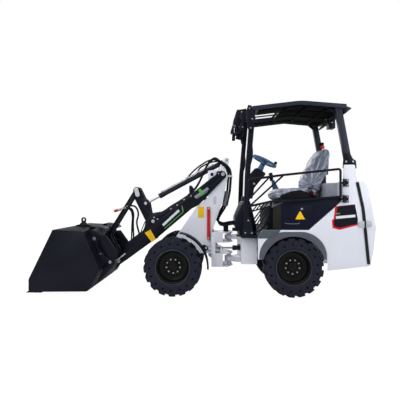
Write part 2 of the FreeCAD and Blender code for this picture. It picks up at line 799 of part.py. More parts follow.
def cylinder(name, anchor, eye, barrel_length, radii, eye_half, retract):
    """Barrel with a rear eye and a rod with a front eye on one line.

    anchor and eye are (x, y, z); radii are barrel and rod; retract is how far the rod slides
    in from rest. The rod's eye is the open end of the linkage.
    """
    barrel_r, rod_r = radii
    a = V(*anchor)
    b = V(*eye)
    along = (b - a).normalize()
    pin_axis = V(0, 0, 1) if abs(along.z) < 0.05 else V(0, 1, 0)
    neck = 58
    bore_start = neck + 10

    def bar(label, start, end, radius):
        return rod(label, tuple(start), tuple(end), radius)

    def eye_bar(place, radius, half):
        return bar("eye", place - pin_axis * half, place + pin_axis * half, radius)

    start = a + along * neck
    end = a + along * barrel_length
    barrel = joined(name + "_barrel_body", [
        bar("neck", a + along * 20, start + along * 4, 15),
        bar("barrel", start, end, barrel_r),
        bar("gland", end - along * 30, end, barrel_r + 3),
        eye_bar(a, PIN + 14, eye_half),
    ])
    bores = [
        eye_bar(a, PIN + FIT, eye_half + 4),
        bar("rod_bore", a + along * bore_start, end + along * 5, rod_r + FIT),
    ]
    node(without(name + "_barrel_solid", barrel, bores), name + "_barrel")
    shaft = bar("shaft", a + along * (bore_start + retract + 6), b - along * 20, rod_r)
    solid = joined(name + "_rod_body", [shaft, eye_bar(b, PIN + 14, eye_half)])
    node(without(name + "_rod_solid", solid, [eye_bar(b, PIN, eye_half + 4)]), name + "_rod")


# ---------------------------------------------------------------- rear frame and body


def rear_chassis():
    """Front box with the hinge tongues and the spine that carries axle, battery and body."""
    front = size("chassis_front_x")
    half = size("chassis_half")
    spine = size("spine_half")
    hinge_x = size("articulation_x")
    z = size("steer_z")
    outer = box("front_box", (front - 190, -half, 352), (front, half, size("floor_z") - 17))
    inner = box("front_space", (front - 190 + PLATE, -half + PLATE, 364), (front - PLATE, half - PLATE, 671))
    window = box("window", (front - 30, 40, z - 48), (front + 10, 240, z + 48))
    front_box = without("front_box_shell", outer, [inner, window])
    tray_out = box("tray", (-1900, -spine, 470), (front - 190, spine, 600))
    low = (-1900 + PLATE, -spine + PLATE, 482)
    high = (front - 190 - PLATE, spine - PLATE, 601)
    tray_in = box("tray_space", low, high)
    tray = without("tray_shell", tray_out, [tray_in])
    nose = [
        (hinge_x + 56, 56, 50),
        (hinge_x + 56, -56, 50),
        (hinge_x - 50, -58),
        (front, -140),
        (front, 140),
        (hinge_x - 50, 58),
    ]
    bore = [(hinge_x, 0, size("articulation_pin_radius") + FIT)]
    upper = floor_shape("upper_tongue", nose, 622, 676, bore)
    lower = floor_shape("lower_tongue", nose, 330, 400, bore)
    ears = []
    for z_low in (z - EARS - PLATE, z + EARS):
        ear = [
            (size("steer_base_x") - 13, size("steer_base_y") - 60),
            (size("steer_base_x") + 26, size("steer_base_y") - 26, 24),
            (size("steer_base_x") + 26, size("steer_base_y") + 26, 24),
            (size("steer_base_x") - 13, size("steer_base_y") + 60),
        ]
        ears.append(floor_shape("base_ear", ear, z_low, z_low + PLATE, (), "plate"))
    pin_x = size("steer_base_x")
    pin_y = size("steer_base_y")
    start = (pin_x, pin_y, z - EARS - PLATE - 4)
    end = (pin_x, pin_y, z + EARS + PLATE + 4)
    pin = rod("steer_pin", start, end, "link_pin_radius")
    walls = joined("chassis_walls", [front_box, tray, upper, lower] + ears)
    low = (pin_x - 50, pin_y - 38, z - EARS)
    high = (pin_x + 10, pin_y + 38, z + EARS)
    passage = without("chassis_passage", walls, [box("passage", low, high)])
    node(joined("rear_chassis_solid", [passage, pin]), "rear_chassis")


def arch_points(inset):
    """The wheel opening's outline on the side panel, drawn in towards the tyre by inset."""
    x = size("rear_axle_x")
    round_off = 300 - inset
    return [
        (x + 400 - inset, 441),
        (x + 400 - inset, 762 - inset, round_off),
        (x - 377 + inset, 762 - inset, round_off),
        (x - 385 + inset, 400),
    ]


def body_side(side_name, side):
    """White side panel with the wheel opening and the pillar for the rear post."""
    half = size("body_half")
    outline = [
        (-1437, 316),
        (-1897, 369),
        (-1911, 394),
        (-1848, 1017, 900),
        (-1780, DECK_Z),
        (-1766, 1400, 60),
        (-1749, 1537, 14),
        (-1622, 1537, 14),
        (-1604, 1122, 10),
        (-1226, 784),
        (-690, 784, 30),
        (-640, 700, 30),
        (-640, 441),
    ]
    low = side * (half - WALL / 2) - WALL / 2
    panel = side_plate("panel", outline + arch_points(0), low, low + WALL, (), "sheet_wall")
    node(panel, "body_side_" + side_name)


def arch_liner(side_name, side):
    """Grey liner over a rear wheel with the flange that shows inside the panel's opening."""
    face = size("body_half") - WALL
    outer = arch_points(1)
    band = outer + list(reversed(arch_points(1 + WALL)))
    flange = outer + list(reversed(arch_points(40)))
    y_low, y_high = sorted((side * size("spine_half"), side * (face - WALL)))
    rim_low, rim_high = sorted((side * (face - WALL), side * face))
    pieces = [
        side_plate("liner", band, y_low, y_high),
        side_plate("flange", flange, rim_low, rim_high),
    ]
    node(joined("arch_liner_solid", pieces), "arch_liner_" + side_name)


def rear_body():
    """Rear bulkhead, deck, shelf, hood hinge brackets and the tow hitch under the hood."""
    half = size("body_half") - WALL
    deck_z = DECK_Z
    front = box("bulkhead", (-1640, -half, 600), (-1640 + WALL, half, deck_z))
    deck = box("deck", (-1780, -half, deck_z - WALL), (-1640 + WALL, half, deck_z))
    shelf = box("shelf", (-1880, -half, 600), (-1640 + WALL, half, 600 + WALL))
    sill = box("sill", (-1880, -312, 362), (-1700, 312, 380))
    pieces = [front, deck, shelf, sill]
    for side in SIDES.values():
        low, high = sorted((side * 300, side * 312))
        pieces.append(box("leg", (-1880, low, 380), (-1640, high, 602)))
        for edge in (-30, 22):
            low = side * 280 + edge
            ear = [
                (-1730, deck_z),
                (-1778, deck_z),
                (HOOD_HINGE[0] - 10, HOOD_HINGE[1] - 6),
                (HOOD_HINGE[0] - 10, deck_z + 22),
                (-1730, deck_z + 22),
            ]
            pieces.append(side_plate("ear", ear, low, low + 8))
        start = (HOOD_HINGE[0], side * 280 - 30, HOOD_HINGE[1])
        end = (HOOD_HINGE[0], side * 280 + 30, HOOD_HINGE[1])
        pieces.append(rod("hood_pin", start, end, 6))
    tongue = [
        (-1720, -110),
        (-1720, 110),
        (-1900, 90, 60),
        (-2065, 50, 46),
        (-2065, -50, 46),
        (-1900, -90, 60),
    ]
    pieces.append(floor_shape("hitch_top", tongue, 350, 362))
    pieces.append(floor_shape("hitch_low", tongue, 300, 312))
    pieces.append(box("hitch_web", (-1800, -80, 308), (-1780, 80, 354)))
    pieces.append(rod("hitch_pin", (-2020, 0, 292), (-2020, 0, 384), 14))
    node(joined("rear_body_solid", pieces), "rear_body")


def rear_hood():
    """Hood over the rear: a shell that opens upwards about its top edge."""
    rear = size("hood_rear_x")
    half = size("body_half") - 2
    outer = [
        (-1788, 1351, 4),
        (-1850, 1338, 24),
        (-1892, 1289, 40),
        (rear, 809, 60),
        (-1960, 560, 80),
        (-1926, 376, 20),
        (-1915, 376),
        (-1857, 1017, 900),
        (-1788, 1345),
    ]
    inner = [
        (-1784, 1344),
        (-1848, 1331, 20),
        (-1886, 1287, 36),
        (rear + WALL, 809, 54),
        (-1960 + WALL, 562, 74),
        (-1923, 383, 16),
        (-1880, 383),
        (-1820, 1017, 900),
    ]
    block = side_plate("hood_block", outer, -half, half)
    space = side_plate("hood_space", inner, -half + WALL, half - WALL)
    x, z = HOOD_HINGE
    notches = []
    for side in SIDES.values():
        for edge in (-34, 18):
            low = side * 280 + edge
            notches.append(box("notch", (x - 26, low, z - 26), (x + 10, low + 16, z + 10)))
    pieces = [without("hood_shell", block, [space] + notches)]
    bores = []
    for side in SIDES.values():
        low = side * 280 - 20
        pieces.append(rod("knuckle", (x, low, z), (x, low + 40, z), 12))
        pieces.append(box("strap", (x - 40, low, z - 18), (x - 5, low + 40, z - 4)))
        bores.append(rod("hood_bore", (x, low - 5, z), (x, low + 45, z), 6 + FIT))
    node(without("rear_hood_solid", joined("hood_whole", pieces), bores), "rear_hood")


def seat_base():
    """Black box under the seat with sloping ends; it covers the battery."""
    outline = [
        (-812, 1040, 20),
        (-930, 1100, 20),
        (-1594, 1160, 10),
        (-1594, 1129),
        (-1214, 790),
        (-812, 790),
    ]
    inner = [
        (-812 - WALL, 1036, 14),
        (-932, 1094, 14),
        (-1594 + WALL, 1153, 4),
        (-1594 + WALL, 1132),
        (-1217, 796),
        (-812 - WALL, 796),
    ]
    half = size("body_half") - 2
    block = side_plate("base_block", outline, -half, half)
    space = side_plate("base_space", inner, -half + WALL, half - WALL)
    node(without("seat_base_solid", block, [space]), "seat_base")


def rear_tank():
    """Grey tank behind the seat, on the seat base and against the bulkhead."""
    outline = [
        (-1634, 1161),
        (-1634, DECK_Z - WALL),
        (-1496, DECK_Z - WALL, 20),
        (-1496, 1161),
    ]
    node(side_plate("tank", outline, -330, 330), "rear_tank")


def battery_pack():
    """Traction battery, one block in the chassis tray."""
    node(box("battery_pack", (-1600, -270, 482), (-830, 270, 782)), "battery_pack")


def floor_plate():
    """Driver's floor on the chassis, its riser to the seat base and the post feet."""
    half = size("floor_half")
    z = size("floor_z")
    slab = box("slab", (-742, -half, z - 17), (-455, half, z))
    ramp = box("ramp", (-795, -296, z - 17), (-742, 296, z))
    riser = box("riser", (-812, -296, z - 17), (-795, 296, 790))
    pieces = [slab, ramp, riser]
    for side in SIDES.values():
        low, high = sorted((side * (half - 110), side * half))
        pieces.append(box("foot", (-660, low, z), (-400, high, z + 14)))
    node(joined("floor_solid", pieces), "floor_plate")


def front_console():
    """Dash console in front of the driver, with a sloping cover, undercut over the hinge."""
    z = size("floor_z")
    outline = [
        (-455, z),
        (-455, 745, 20),
        (-405, 775, 20),
        (-405, 905, 30),
        (-500, 1120, 30),
        (-575, 1120, 20),
        (-655, 800, 30),
        (-655, z),
    ]
    node(side_plate("console", outline, -330, 330), "front_console")


def steering_column():
    """Column from the console up to the steering wheel, with its switch housing."""
    pieces = [
        rod("column", tuple(COLUMN_FOOT), tuple(COLUMN_TOP), 32),
        side_plate(
            "shroud",
            [
                (-530, 1150),
                (-600, 1462, 40),
                (-680, 1560, 40),
                (-812, 1474, 20),
                (-742, 1392, 40),
                (-655, 1285, 30),
                (-635, 1150),
            ],
            -66,
            66,
        ),
        box("foot", (-575, -60, 1120), (-500, 60, 1180)),
        box("shroud_foot", (-575, -66, 1120), (-530, 66, 1160)),
    ]
    node(joined("column_solid", pieces), "steering_column")


def steering_wheel():
    """Rim, hub, spokes and spinner knob, square to the column."""
    along = (COLUMN_TOP - COLUMN_FOOT).normalize()
    centre = COLUMN_TOP + along * 45
    tilt = FreeCAD.Rotation(V(0, 0, 1), along)
    rim = doc.addObject("Part::Torus", "grip")
    rim.Radius1 = 162
    rim.Radius2 = 14
    rim.Placement = FreeCAD.Placement(centre, tilt)
    pieces = [rim, rod("hub", tuple(centre - along * 45), tuple(centre + along * 8), 34)]
    for angle in (90, 210, 330):
        turn = math.radians(angle)
        out = tilt.multVec(V(math.cos(turn), math.sin(turn), 0))
        pieces.append(rod("spoke", tuple(centre - along * 10), tuple(centre + out * 160), 9))
    knob = centre + tilt.multVec(V(math.cos(2.6), math.sin(2.6), 0)) * 160
    pieces.append(rod("knob", tuple(knob), tuple(knob + along * 55), 20))
    node(joined("steering_wheel_solid", pieces), "steering_wheel")


def joystick():
    """Control lever on its console, to the driver's right, on a post from the seat base."""
    pieces = [
        box("console", (-1290, -520, 1160), (-930, -420, 1250)),
        side_plate(
            "console_leg",
            [(-1150, seat_base_top(-1150)), (-1000, seat_base_top(-1000)), (-1000, 1161), (-1150, 1161)],
            -510,
            -430,
        ),
        rod("stem", (-1000, -470, 1250), (-965, -470, 1420), 9),
        rod("grip", (-965, -470, 1405), (-945, -470, 1520), 24),
    ]
    node(joined("joystick_solid", pieces), "joystick_console")


def seat_base_top(x):
    """Height of the seat base's sloping top at x."""
    return 1100 + 60 * (-930 - x) / 664


def seat():
    """Cushion, backrest and the two side bolsters."""
    half = size("seat_half")
    mount = [
        (-1400, seat_base_top(-1400)),
        (-1000, seat_base_top(-1000)),
        (-1000, 1172),
        (-1400, 1172),
    ]
    node(side_plate("mount", mount, -half + 50, half - 50), "seat_mount")
    cushion = [
        (-890, 1130, 26),
        (-856, 1205, 50),
        (-905, 1258, 50),
        (-1060, 1261.7, 200),
        (-1420, 1261.7, 40),
        (-1425, 1172.3, 20),
        (-985, 1172.3, 30),
        (-945, 1130, 20),
    ]
    node(side_plate("cushion", cushion, -half, half), "seat_cushion")
    back = [
        (-1240, 1262, 20),
        (-1222, 1330, 60),
        (-1264, 1462, 150),
        (-1385, 1690, 120),
        (-1455, 1752, 50),
        (-1538, 1778, 30),
        (-1588, 1735, 40),
        (-1548, 1600, 150),
        (-1496, 1455, 100),
        (-1436, 1262, 30),
    ]
    node(side_plate("backrest", back, -half, half), "seat_back")


def canopy_post(label, foot, knee, head, side, depth):
    """One canopy post of rectangular tube, from its foot to the roof."""
    y = side * size("post_half")
    width = size("post_width")
    outline = [
        (foot[0] + depth / 2, foot[1]),
        (knee[0] + depth / 2, knee[1], 200),
        (head[0] + depth / 2, head[1]),
        (head[0] - depth / 2, head[1]),
        (knee[0] - depth / 2, knee[1], 200),
        (foot[0] - depth / 2, foot[1]),
    ]
    post = side_plate("post", outline, y - width / 2, y + width / 2, (), "post_width")
    node(post, label)


def roof():
    """Canopy roof: shallow arched slab with slots at the front, a rear visor and post sockets."""
    beam = size("roof_beam")
    half = size("roof_half")
    outline = [
        (-562, 2186, 8),
        (-580, 2232, 14),
        (-1150, 2293, 700),
        (-1680, 2246, 20),
        (-1760, 2216, 6),
        (-1668, 2142, 6),
        (-1650, 2150, 4),
        (-1680, 2200, 10),
        (-1640, 2246 - beam, 20),
        (-1150, 2293 - beam, 700),
        (-640, 2190, 10),
    ]
    slab = side_plate("slab", outline, -half, half)
    pocket = [(-645, 2150), (-645, 2233), (-945, 2265), (-945, 2150)]
    slots = [side_plate("pocket", pocket, -262, 262)]
    for y in (-170, 0, 170):
        slots.append(box("slot", (-925, y - 52, 2100), (-665, y + 52, 2400)))
    pieces = [without("slotted", slab, slots)]
    for side in SIDES.values():
        y = side * size("lamp_half")
        pieces.append(box("lamp_bracket", (-640, y - 20, 2188), (-540, y + 20, 2200)))
    post_y = size("post_half")
    for x in (FRONT_HEAD_X, REAR_HEAD_X):
        for side in SIDES.values():
            low = (x - 42, side * post_y - 32, ROOF_SEAT_Z)
            high = (x + 42, side * post_y + 32, 2225)
            pieces.append(box("socket", low, high))
    pieces.append(box("lamp_pad", (-1640, -25, ROOF_SEAT_Z), (-1590, 25, 2225)))
    node(joined("roof_solid", pieces), "roof")


def lamps():
    """Work lamps: two ahead of the roof's front edge and one under its rear."""
    body = [
        (-500, 2200),
        (-500, 2225, 10),
        (-415, 2240, 20),
        (-362, 2070, 8),
        (-425, 2030, 10),
        (-500, 2060, 20),
        (-500, 2188),
        (-540, 2188),
        (-540, 2200),
    ]
    for name, side in SIDES.items():
        y = side * size("lamp_half")
        case = side_plate("lamp", body, y - 20, y + 20)
        head = side_plate("lamp_head", body[1:6], y - 62, y + 62)
        node(joined("lamp_solid", [case, head]), "work_lamp_" + name)
    rear = box("rear_lamp_body", (-1700, -60, 2060), (-1620, 60, 2130))
    arm = box("rear_arm", (-1635, -15, 2130), (-1610, 15, ROOF_SEAT_Z))
    foot = box("rear_foot", (-1635, -15, 2120), (-1618, 15, 2135))
    node(joined("rear_lamp_solid", [rear, arm, foot]), "rear_lamp")


def foot_guard():
    """Slanting guard between the front post and the seat base, on the left of the footwell."""
    y = size("floor_half") - 40
    floor = size("floor_z")
    pieces = [
        rod("slat", (-630 - 42 * i, y, 1024 + 7 * i), (-566 - 34 * i, y, 890 - 28 * i), 8)
        for i in range(4)
    ]
    pieces += [
        rod("rail_top", (-558, y, 1050), (-772, y, 1110), 8),
        rod("rail_mid", (-558, y, 1012), (-776, y, 1048), 8),
        rod("rail_low", (-560, y, 895), (-690, y, 788), 8),
        rod("rail_end", (-690, y, 788), (-776, y, 1048), 8),
        rod("rail_front", (-560, y, 895), (-560, y, 1050), 8),
        box("leg", (-690, y - 8, floor), (-674, y + 8, 800)),
    ]
    node(joined("guard_solid", pieces), "foot_guard")


# ---------------------------------------------------------------- gate and hoses


def side_gate():
    """Round tube gate on the left side, hinged on the rear pillar."""
    y = size("gate_y")
    radius = size("gate_tube_radius")
    upper = bent_tube(
        "gate_upper",
        [
            (-1578, y, 1090),
            (-1578, y, 1488),
            (-1060, y, 1436),
            (-530, y, 1372),
            (-540, y, 1040),
            (-640, y, 770),
        ],
        radius,
    )
    lower = bent_tube(
        "gate_lower",
        [(-640, y, 770), (-715, y, 805), (-800, y, 1080), (-1100, y, 1132), (-1578, y, 1181)],
        radius,
    )
    corner = rod("gate_corner", (-640, y - radius, 770), (-640, y + radius, 770), radius)
    bars = [
        rod("bar", (-769, y, 1400), (-540, y, 1125), "gate_bar_radius"),
        rod("bar", (-926, y, 1419), (-545, y, 1023), "gate_bar_radius"),
    ]
    knuckles = [
        rod("knuckle", (HINGE_X, y, z - 30), (HINGE_X, y, z + 30), 16)
        for z in GATE_HINGES
    ]
    straps = [
        box("strap", (HINGE_X, y - 8, z - 12), (-1578, y + 8, z + 12))
        for z in GATE_HINGES
    ]
    whole = joined("gate_whole", [upper, lower, corner] + bars + knuckles + straps)
    bores = [
        rod("gate_bore", (HINGE_X, y, z - 40), (HINGE_X, y, z + 40), 9 + FIT)
        for z in GATE_HINGES
    ]
    node(without("gate_solid", whole, bores), "side_gate")


def gate_hinges():
    """Brackets on the left pillar, each with two ears and the pin that the gate swings on."""
    y = size("gate_y")
    face = size("body_half")
    pieces = []
    for z in GATE_HINGES:
        pieces.append(box("leaf", (-1676, face, z - 42), (HINGE_X - 24, face + WALL, z + 42)))
        for low in (z - 42, z + 34):
            ear = box("ear", (HINGE_X - 26, face, low), (HINGE_X + 14, y + 14, low + 8))
            pieces.append(ear)
        pieces.append(rod("pin", (HINGE_X, y, z - 42), (HINGE_X, y, z + 42), 9))
    node(joined("gate_hinges_solid", pieces), "gate_hinges")


def hoses():
    """Hose bundle from the mast top to the console, parted at the frame hinge."""
    radius = size("bundle_radius")
    falling = [
        (-350, 0, 1500),
        (-352, 0, 1400),
        (-332, 0, 1250),
        (-292, 0, 1060),
        (-250, 0, 930),
        (-250, 0, 850),
        (-290, 0, 818.5),
    ]
    node(bent_tube("bundle_front", falling, radius), "hose_bundle_front")
    across_hinge = [(-368, 0, 818), (-386, 0, 818), (-405, 0, 818)]
    node(bent_tube("bundle_rear", across_hinge, radius), "hose_bundle_rear")


# ---------------------------------------------------------------- the machine

for end_name, end_x in (("front", size("front_axle_x")), ("rear", size("rear_axle_x"))):
    for side_name, side in SIDES.items():
        wheel(end_name + "_" + side_name, end_x, side)
axle("front_axle", size("front_axle_x"), size("lower_fork_top"), 140)
axle("rear_axle", size("rear_axle_x"), 470, 200)
front_frame()
for side_name, side in SIDES.items():
    mudguard(side_name, side)
safety_strut()
boom()
tilt_lever()
tilt_link()
coupler()
bucket()
cylinder(
    "tilt",
    (TILT_ANCHOR[0], 0, TILT_ANCHOR[1]),
    (LEVER_MID[0], 0, LEVER_MID[1]),
    970,
    (32, 16),
    TILT_EYE,
    105,
)
cylinder(
    "lift",
    (LIFT_BASE[0], 0, LIFT_BASE[1]),
    (LIFT_TOP[0], 0, LIFT_TOP[1]),
    560,
    (40, 22),
    EYE,
    10,
)
cylinder(
    "steering",
    (size("steer_base_x"), size("steer_base_y"), size("steer_z")),
    (size("steer_eye_x"), size("steer_eye_y"), size("steer_z")),
    270,
    (30, 14),
    EYE,
    104,
)
rear_chassis()
for side_name, side in SIDES.items():
    body_side(side_name, side)
    arch_liner(side_name, side)
rear_body()
rear_hood()
seat_base()
rear_tank()
battery_pack()
floor_plate()
front_console()
steering_column()
steering_wheel()
joystick()
seat()
for side_name, side in SIDES.items():
    foot = (-505, size("floor_z") + 14)
    head = (FRONT_HEAD_X, ROOF_SEAT_Z)
    depth = size("post_depth")
    canopy_post("canopy_post_front_" + side_name, foot, (-531, KNEE_Z), head, side, depth)
    foot = (-1705, DECK_Z)
    head = (REAR_HEAD_X, ROOF_SEAT_Z)
    depth = size("rear_post_depth")
    canopy_post("canopy_post_rear_" + side_name, foot, (-1700, 1580), head, side, depth)
roof()
lamps()
foot_guard()
side_gate()
gate_hinges()
hoses()

doc.recompute()
for thing in doc.Objects:
    if "Invalid" in thing.State or "Error" in thing.State:
        raise RuntimeError("%s did not build: %s" % (thing.Label, thing.State))
os.makedirs("parts", exist_ok=True)
for thing in NODES:
    if thing.Shape.isNull() or not thing.Shape.isValid():
        raise RuntimeError("%s has no valid shape" % thing.Label)
    thing.Shape.exportStep(os.path.join("parts", thing.Label + ".step"))
    print(thing.Label, len(thing.Shape.Solids), round(thing.Shape.Volume / 1e6, 3))
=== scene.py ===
# %% [markdown]
# # A compact electric wheel loader
#
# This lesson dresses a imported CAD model. The CAD holds every part at its real size, and this
# script gives each one its finish, eased edges and the small pieces that a designer leaves to
# the shop: tyre lugs, bolts, seals, hoses, plates and the wrinkled film on a new seat.
# Everything is in metres. +X points to the bucket, +Y to the driver's left and +Z up.

import json
import math

import bpy
from mathutils import Matrix, Vector, noise


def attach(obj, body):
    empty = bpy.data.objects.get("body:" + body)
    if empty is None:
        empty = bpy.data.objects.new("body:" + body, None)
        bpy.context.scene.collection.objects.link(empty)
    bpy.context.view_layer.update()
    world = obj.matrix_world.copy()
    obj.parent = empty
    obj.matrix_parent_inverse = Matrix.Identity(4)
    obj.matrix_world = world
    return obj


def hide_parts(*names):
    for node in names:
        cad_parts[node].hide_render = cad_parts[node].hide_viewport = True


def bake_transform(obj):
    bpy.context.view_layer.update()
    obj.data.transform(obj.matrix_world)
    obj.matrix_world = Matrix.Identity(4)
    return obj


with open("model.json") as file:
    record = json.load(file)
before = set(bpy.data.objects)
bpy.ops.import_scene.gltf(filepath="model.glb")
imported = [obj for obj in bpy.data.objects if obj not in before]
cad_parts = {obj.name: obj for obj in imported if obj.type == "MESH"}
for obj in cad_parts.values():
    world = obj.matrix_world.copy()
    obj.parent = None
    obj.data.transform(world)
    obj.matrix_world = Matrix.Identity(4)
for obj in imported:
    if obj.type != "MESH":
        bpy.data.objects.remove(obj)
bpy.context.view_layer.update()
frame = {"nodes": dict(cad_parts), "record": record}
bpy.ops.object.select_all(action="DESELECT")

# %% [markdown]
# ## A workbench of small helpers
#
# An operator works on whatever is selected, so each helper starts by selecting one object only.
# Edges are picked by their direction, because a script has no mouse.

# %% Selecting


def alone(obj):
    """Select obj and nothing else."""
    bpy.ops.object.select_all(action="DESELECT")
    obj.select_set(True)
    bpy.context.view_layer.objects.active = obj


def edit(obj, mode="FACE"):
    """Go into edit mode with everything selected."""
    alone(obj)
    bpy.ops.object.mode_set(mode="EDIT")
    bpy.ops.mesh.select_mode(type=mode)
    bpy.ops.mesh.select_all(action="SELECT")


def pick_edges(obj, test):
    """Go into edit mode with just the edges selected whose run passes the test."""
    edit(obj, "EDGE")
    bpy.ops.mesh.select_all(action="DESELECT")
    bpy.ops.object.mode_set(mode="OBJECT")
    corners = obj.data.vertices
    for edge in obj.data.edges:
        first, second = edge.vertices
        edge.select = test(corners[second].co - corners[first].co)
    bpy.ops.object.mode_set(mode="EDIT")


def done():
    bpy.ops.object.mode_set(mode="OBJECT")


# %% [markdown]
# Edges straight from the computer look wrong, because a real edge is a little round and
# catches light.
# A Bevel modifier with a small width on all edges above an angle eases them in one go.

# %% Easing edges and fixing a shape


def share(value):
    """The value, held between 0 and 1."""
    return min(1.0, max(0.0, value))


def apply_all(obj):
    alone(obj)
    for modifier in list(obj.modifiers):
        bpy.ops.object.modifier_apply(modifier=modifier.name)


def ease(obj, width, segments=2, angle=35):
    """Round the edges sharper than the angle, then smooth the shading of the rest."""
    bevel = obj.modifiers.new("ease", "BEVEL")
    bevel.width = width
    bevel.segments = segments
    bevel.limit_method = "ANGLE"
    bevel.angle_limit = math.radians(angle)
    bevel.use_clamp_overlap = True
    apply_all(obj)
    bpy.ops.object.shade_smooth_by_angle(angle=math.radians(38))
    return obj


def settle(obj, name):
    """Put the object's place into its mesh, so that the object itself sits at the origin."""
    alone(obj)
    bpy.ops.object.transform_apply(location=True, rotation=True, scale=True)
    obj.name = obj.data.name = name
    return obj


# %% [markdown]
# Nearly everything starts as one of five shapes: a block, a plate cut to an outline, a round
# bar, a turned shape or a bent tube.

# %% Basic shapes
MERGE = 1e-5


def block(name, low, high):
    """A cube primitive stretched between two corners."""
    low, high = Vector(low), Vector(high)
    bpy.ops.mesh.primitive_cube_add(size=1, location=(low + high) / 2)
    obj = bpy.context.active_object
    obj.scale = high - low
    return settle(obj, name)


def plate(name, outline, low, high, axis="Y"):
    """A flat shape cut to an outline and extruded from low to high along one axis.

    The outline holds (x, z) pairs for axis Y, (x, y) for axis Z and (y, z) for axis X.
    """
    low, high = sorted((low, high))
    bpy.ops.mesh.primitive_circle_add(vertices=len(outline), radius=1, fill_type="NGON")
    obj = bpy.context.active_object
    at = "XYZ".index(axis)
    for vertex, point in zip(obj.data.vertices, outline):
        vertex.co = (*point[:at], low, *point[at:])
    edit(obj)
    move = Vector([high - low if axis == letter else 0 for letter in "XYZ"])
    bpy.ops.mesh.extrude_region_move(TRANSFORM_OT_translate={"value": move})
    bpy.ops.mesh.select_all(action="SELECT")
    bpy.ops.mesh.normals_make_consistent(inside=False)
    done()
    return settle(obj, name)


def bar(name, start, end, radius, sides=20):
    """A round bar between two points."""
    start, end = Vector(start), Vector(end)
    run = end - start
    bpy.ops.mesh.primitive_cylinder_add(
        vertices=sides, radius=radius, depth=run.length, location=(start + end) / 2
    )
    obj = bpy.context.active_object
    obj.rotation_mode = "QUATERNION"
    obj.rotation_quaternion = run.to_track_quat("Z", "Y")
    return settle(obj, name)


def lathe(name, profile, centre=(0, 0, 0), axis="Y", steps=64):
    """A closed profile of (radius, distance along the axis) pairs, spun once round."""
    bpy.ops.mesh.primitive_circle_add(vertices=len(profile), radius=1, fill_type="NOTHING")
    obj = bpy.context.active_object
    for vertex, (radius, along) in zip(obj.data.vertices, profile):
        vertex.co = (radius, along, 0) if axis == "Y" else (radius, 0, along)
    edit(obj, "VERT")
    turn = (0, 1, 0) if axis == "Y" else (0, 0, 1)
    bpy.ops.mesh.spin(steps=steps, angle=2 * math.pi, center=(0, 0, 0), axis=turn)
    bpy.ops.mesh.select_all(action="SELECT")
    bpy.ops.mesh.remove_doubles(threshold=MERGE)
    bpy.ops.mesh.normals_make_consistent(inside=False)
    done()
    obj.location = centre
    return settle(obj, name)


def turned(name, profile, steps, place):
    """A profile spun round the upright axis, then set in its place by a matrix."""
    obj = lathe(name, profile, axis="Z", steps=steps)
    obj.data.transform(place)
    return obj


def tube(name, points, radius, sides=10):
    """A round tube on a smooth NURBS line through the room that its control points give."""
    curve = bpy.data.curves.new(name, "CURVE")
    curve.dimensions = "3D"
    curve.bevel_depth = radius
    curve.bevel_resolution = sides // 4
    curve.resolution_u = 6
    curve.use_fill_caps = True
    spline = curve.splines.new("NURBS")
    spline.points.add(len(points) - 1)
    for knot, point in zip(spline.points, points):
        knot.co = (*point, 1)
    spline.order_u = 3
    spline.use_endpoint_u = True
    obj = bpy.data.objects.new(name, curve)
    bpy.context.collection.objects.link(obj)
    alone(obj)
    bpy.ops.object.convert(target="MESH")
    obj = bpy.context.active_object
    bpy.ops.object.shade_smooth_by_angle(angle=math.radians(60))
    return settle(obj, name)


# %% Joining, copying and cutting


def join(name, pieces):
    """Several meshes as one object."""
    bpy.ops.object.select_all(action="DESELECT")
    for piece in pieces:
        piece.select_set(True)
    bpy.context.view_layer.objects.active = pieces[0]
    bpy.ops.object.join()
    pieces[0].name = pieces[0].data.name = name
    return pieces[0]


def copy_of(obj, name, matrix=None):
    """A copy with a mesh of its own, moved or turned by a matrix."""
    twin = obj.copy()
    twin.data = obj.data.copy()
    twin.name = twin.data.name = name
    bpy.context.collection.objects.link(twin)
    if matrix:
        twin.data.transform(matrix)
        if matrix.determinant() < 0:
            twin.data.flip_normals()
    return twin


def carve(obj, cutters):
    """Cut the cutters out of obj with a Boolean modifier, then throw them away."""
    cutter = join("cutter", cutters)
    boolean = obj.modifiers.new("carve", "BOOLEAN")
    boolean.operation = "DIFFERENCE"
    boolean.solver = "EXACT"
    boolean.object = cutter
    apply_all(obj)
    bpy.data.objects.remove(cutter)
    return obj


# %% [markdown]
# Every finished piece gets its material and is hung on the CAD body it moves with, and where it
# stands for a CAD node, that node is hidden. A piece over a hinge keeps its mesh in world space and
# hangs on no body.

# %% Handing a piece to the frame
STOOD_FOR = set()
BODY_OF = {
    member: body
    for body, members in frame["record"]["behaviour"]["bodies"].items()
    for member in members
}


def hand_over(obj, body, slot, finish, replaces=(), bend=None):
    obj.data.materials.clear()
    obj.data.materials.append(finish)
    if bend:
        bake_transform(obj)
    else:
        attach(obj, body)
    if replaces:
        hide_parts(*replaces)
        STOOD_FOR.update(replaces)
    return obj


def fit(name, pieces, body, slot, finish, edge=0.0, segments=2, **more):
    """Join the pieces, ease their edges by edge and hand them over."""
    obj = join(name, pieces)
    if edge:
        ease(obj, edge, segments)
    return hand_over(obj, body, slot, finish, **more)


def dress(node, slot, finish, width=0.002, segments=2):
    """A clean copy of a CAD node with eased edges, which stands for the node."""
    twin = copy_of(frame["nodes"][node], node + "_dressed")
    twin.parent = None
    twin.matrix_world = Matrix.Identity(4)
    edit(twin)
    bpy.ops.mesh.remove_doubles(threshold=MERGE)
    bpy.ops.mesh.dissolve_limited(angle_limit=math.radians(0.8))
    done()
    ease(twin, width, segments)
    return hand_over(twin, BODY_OF[node], slot, finish, [node])


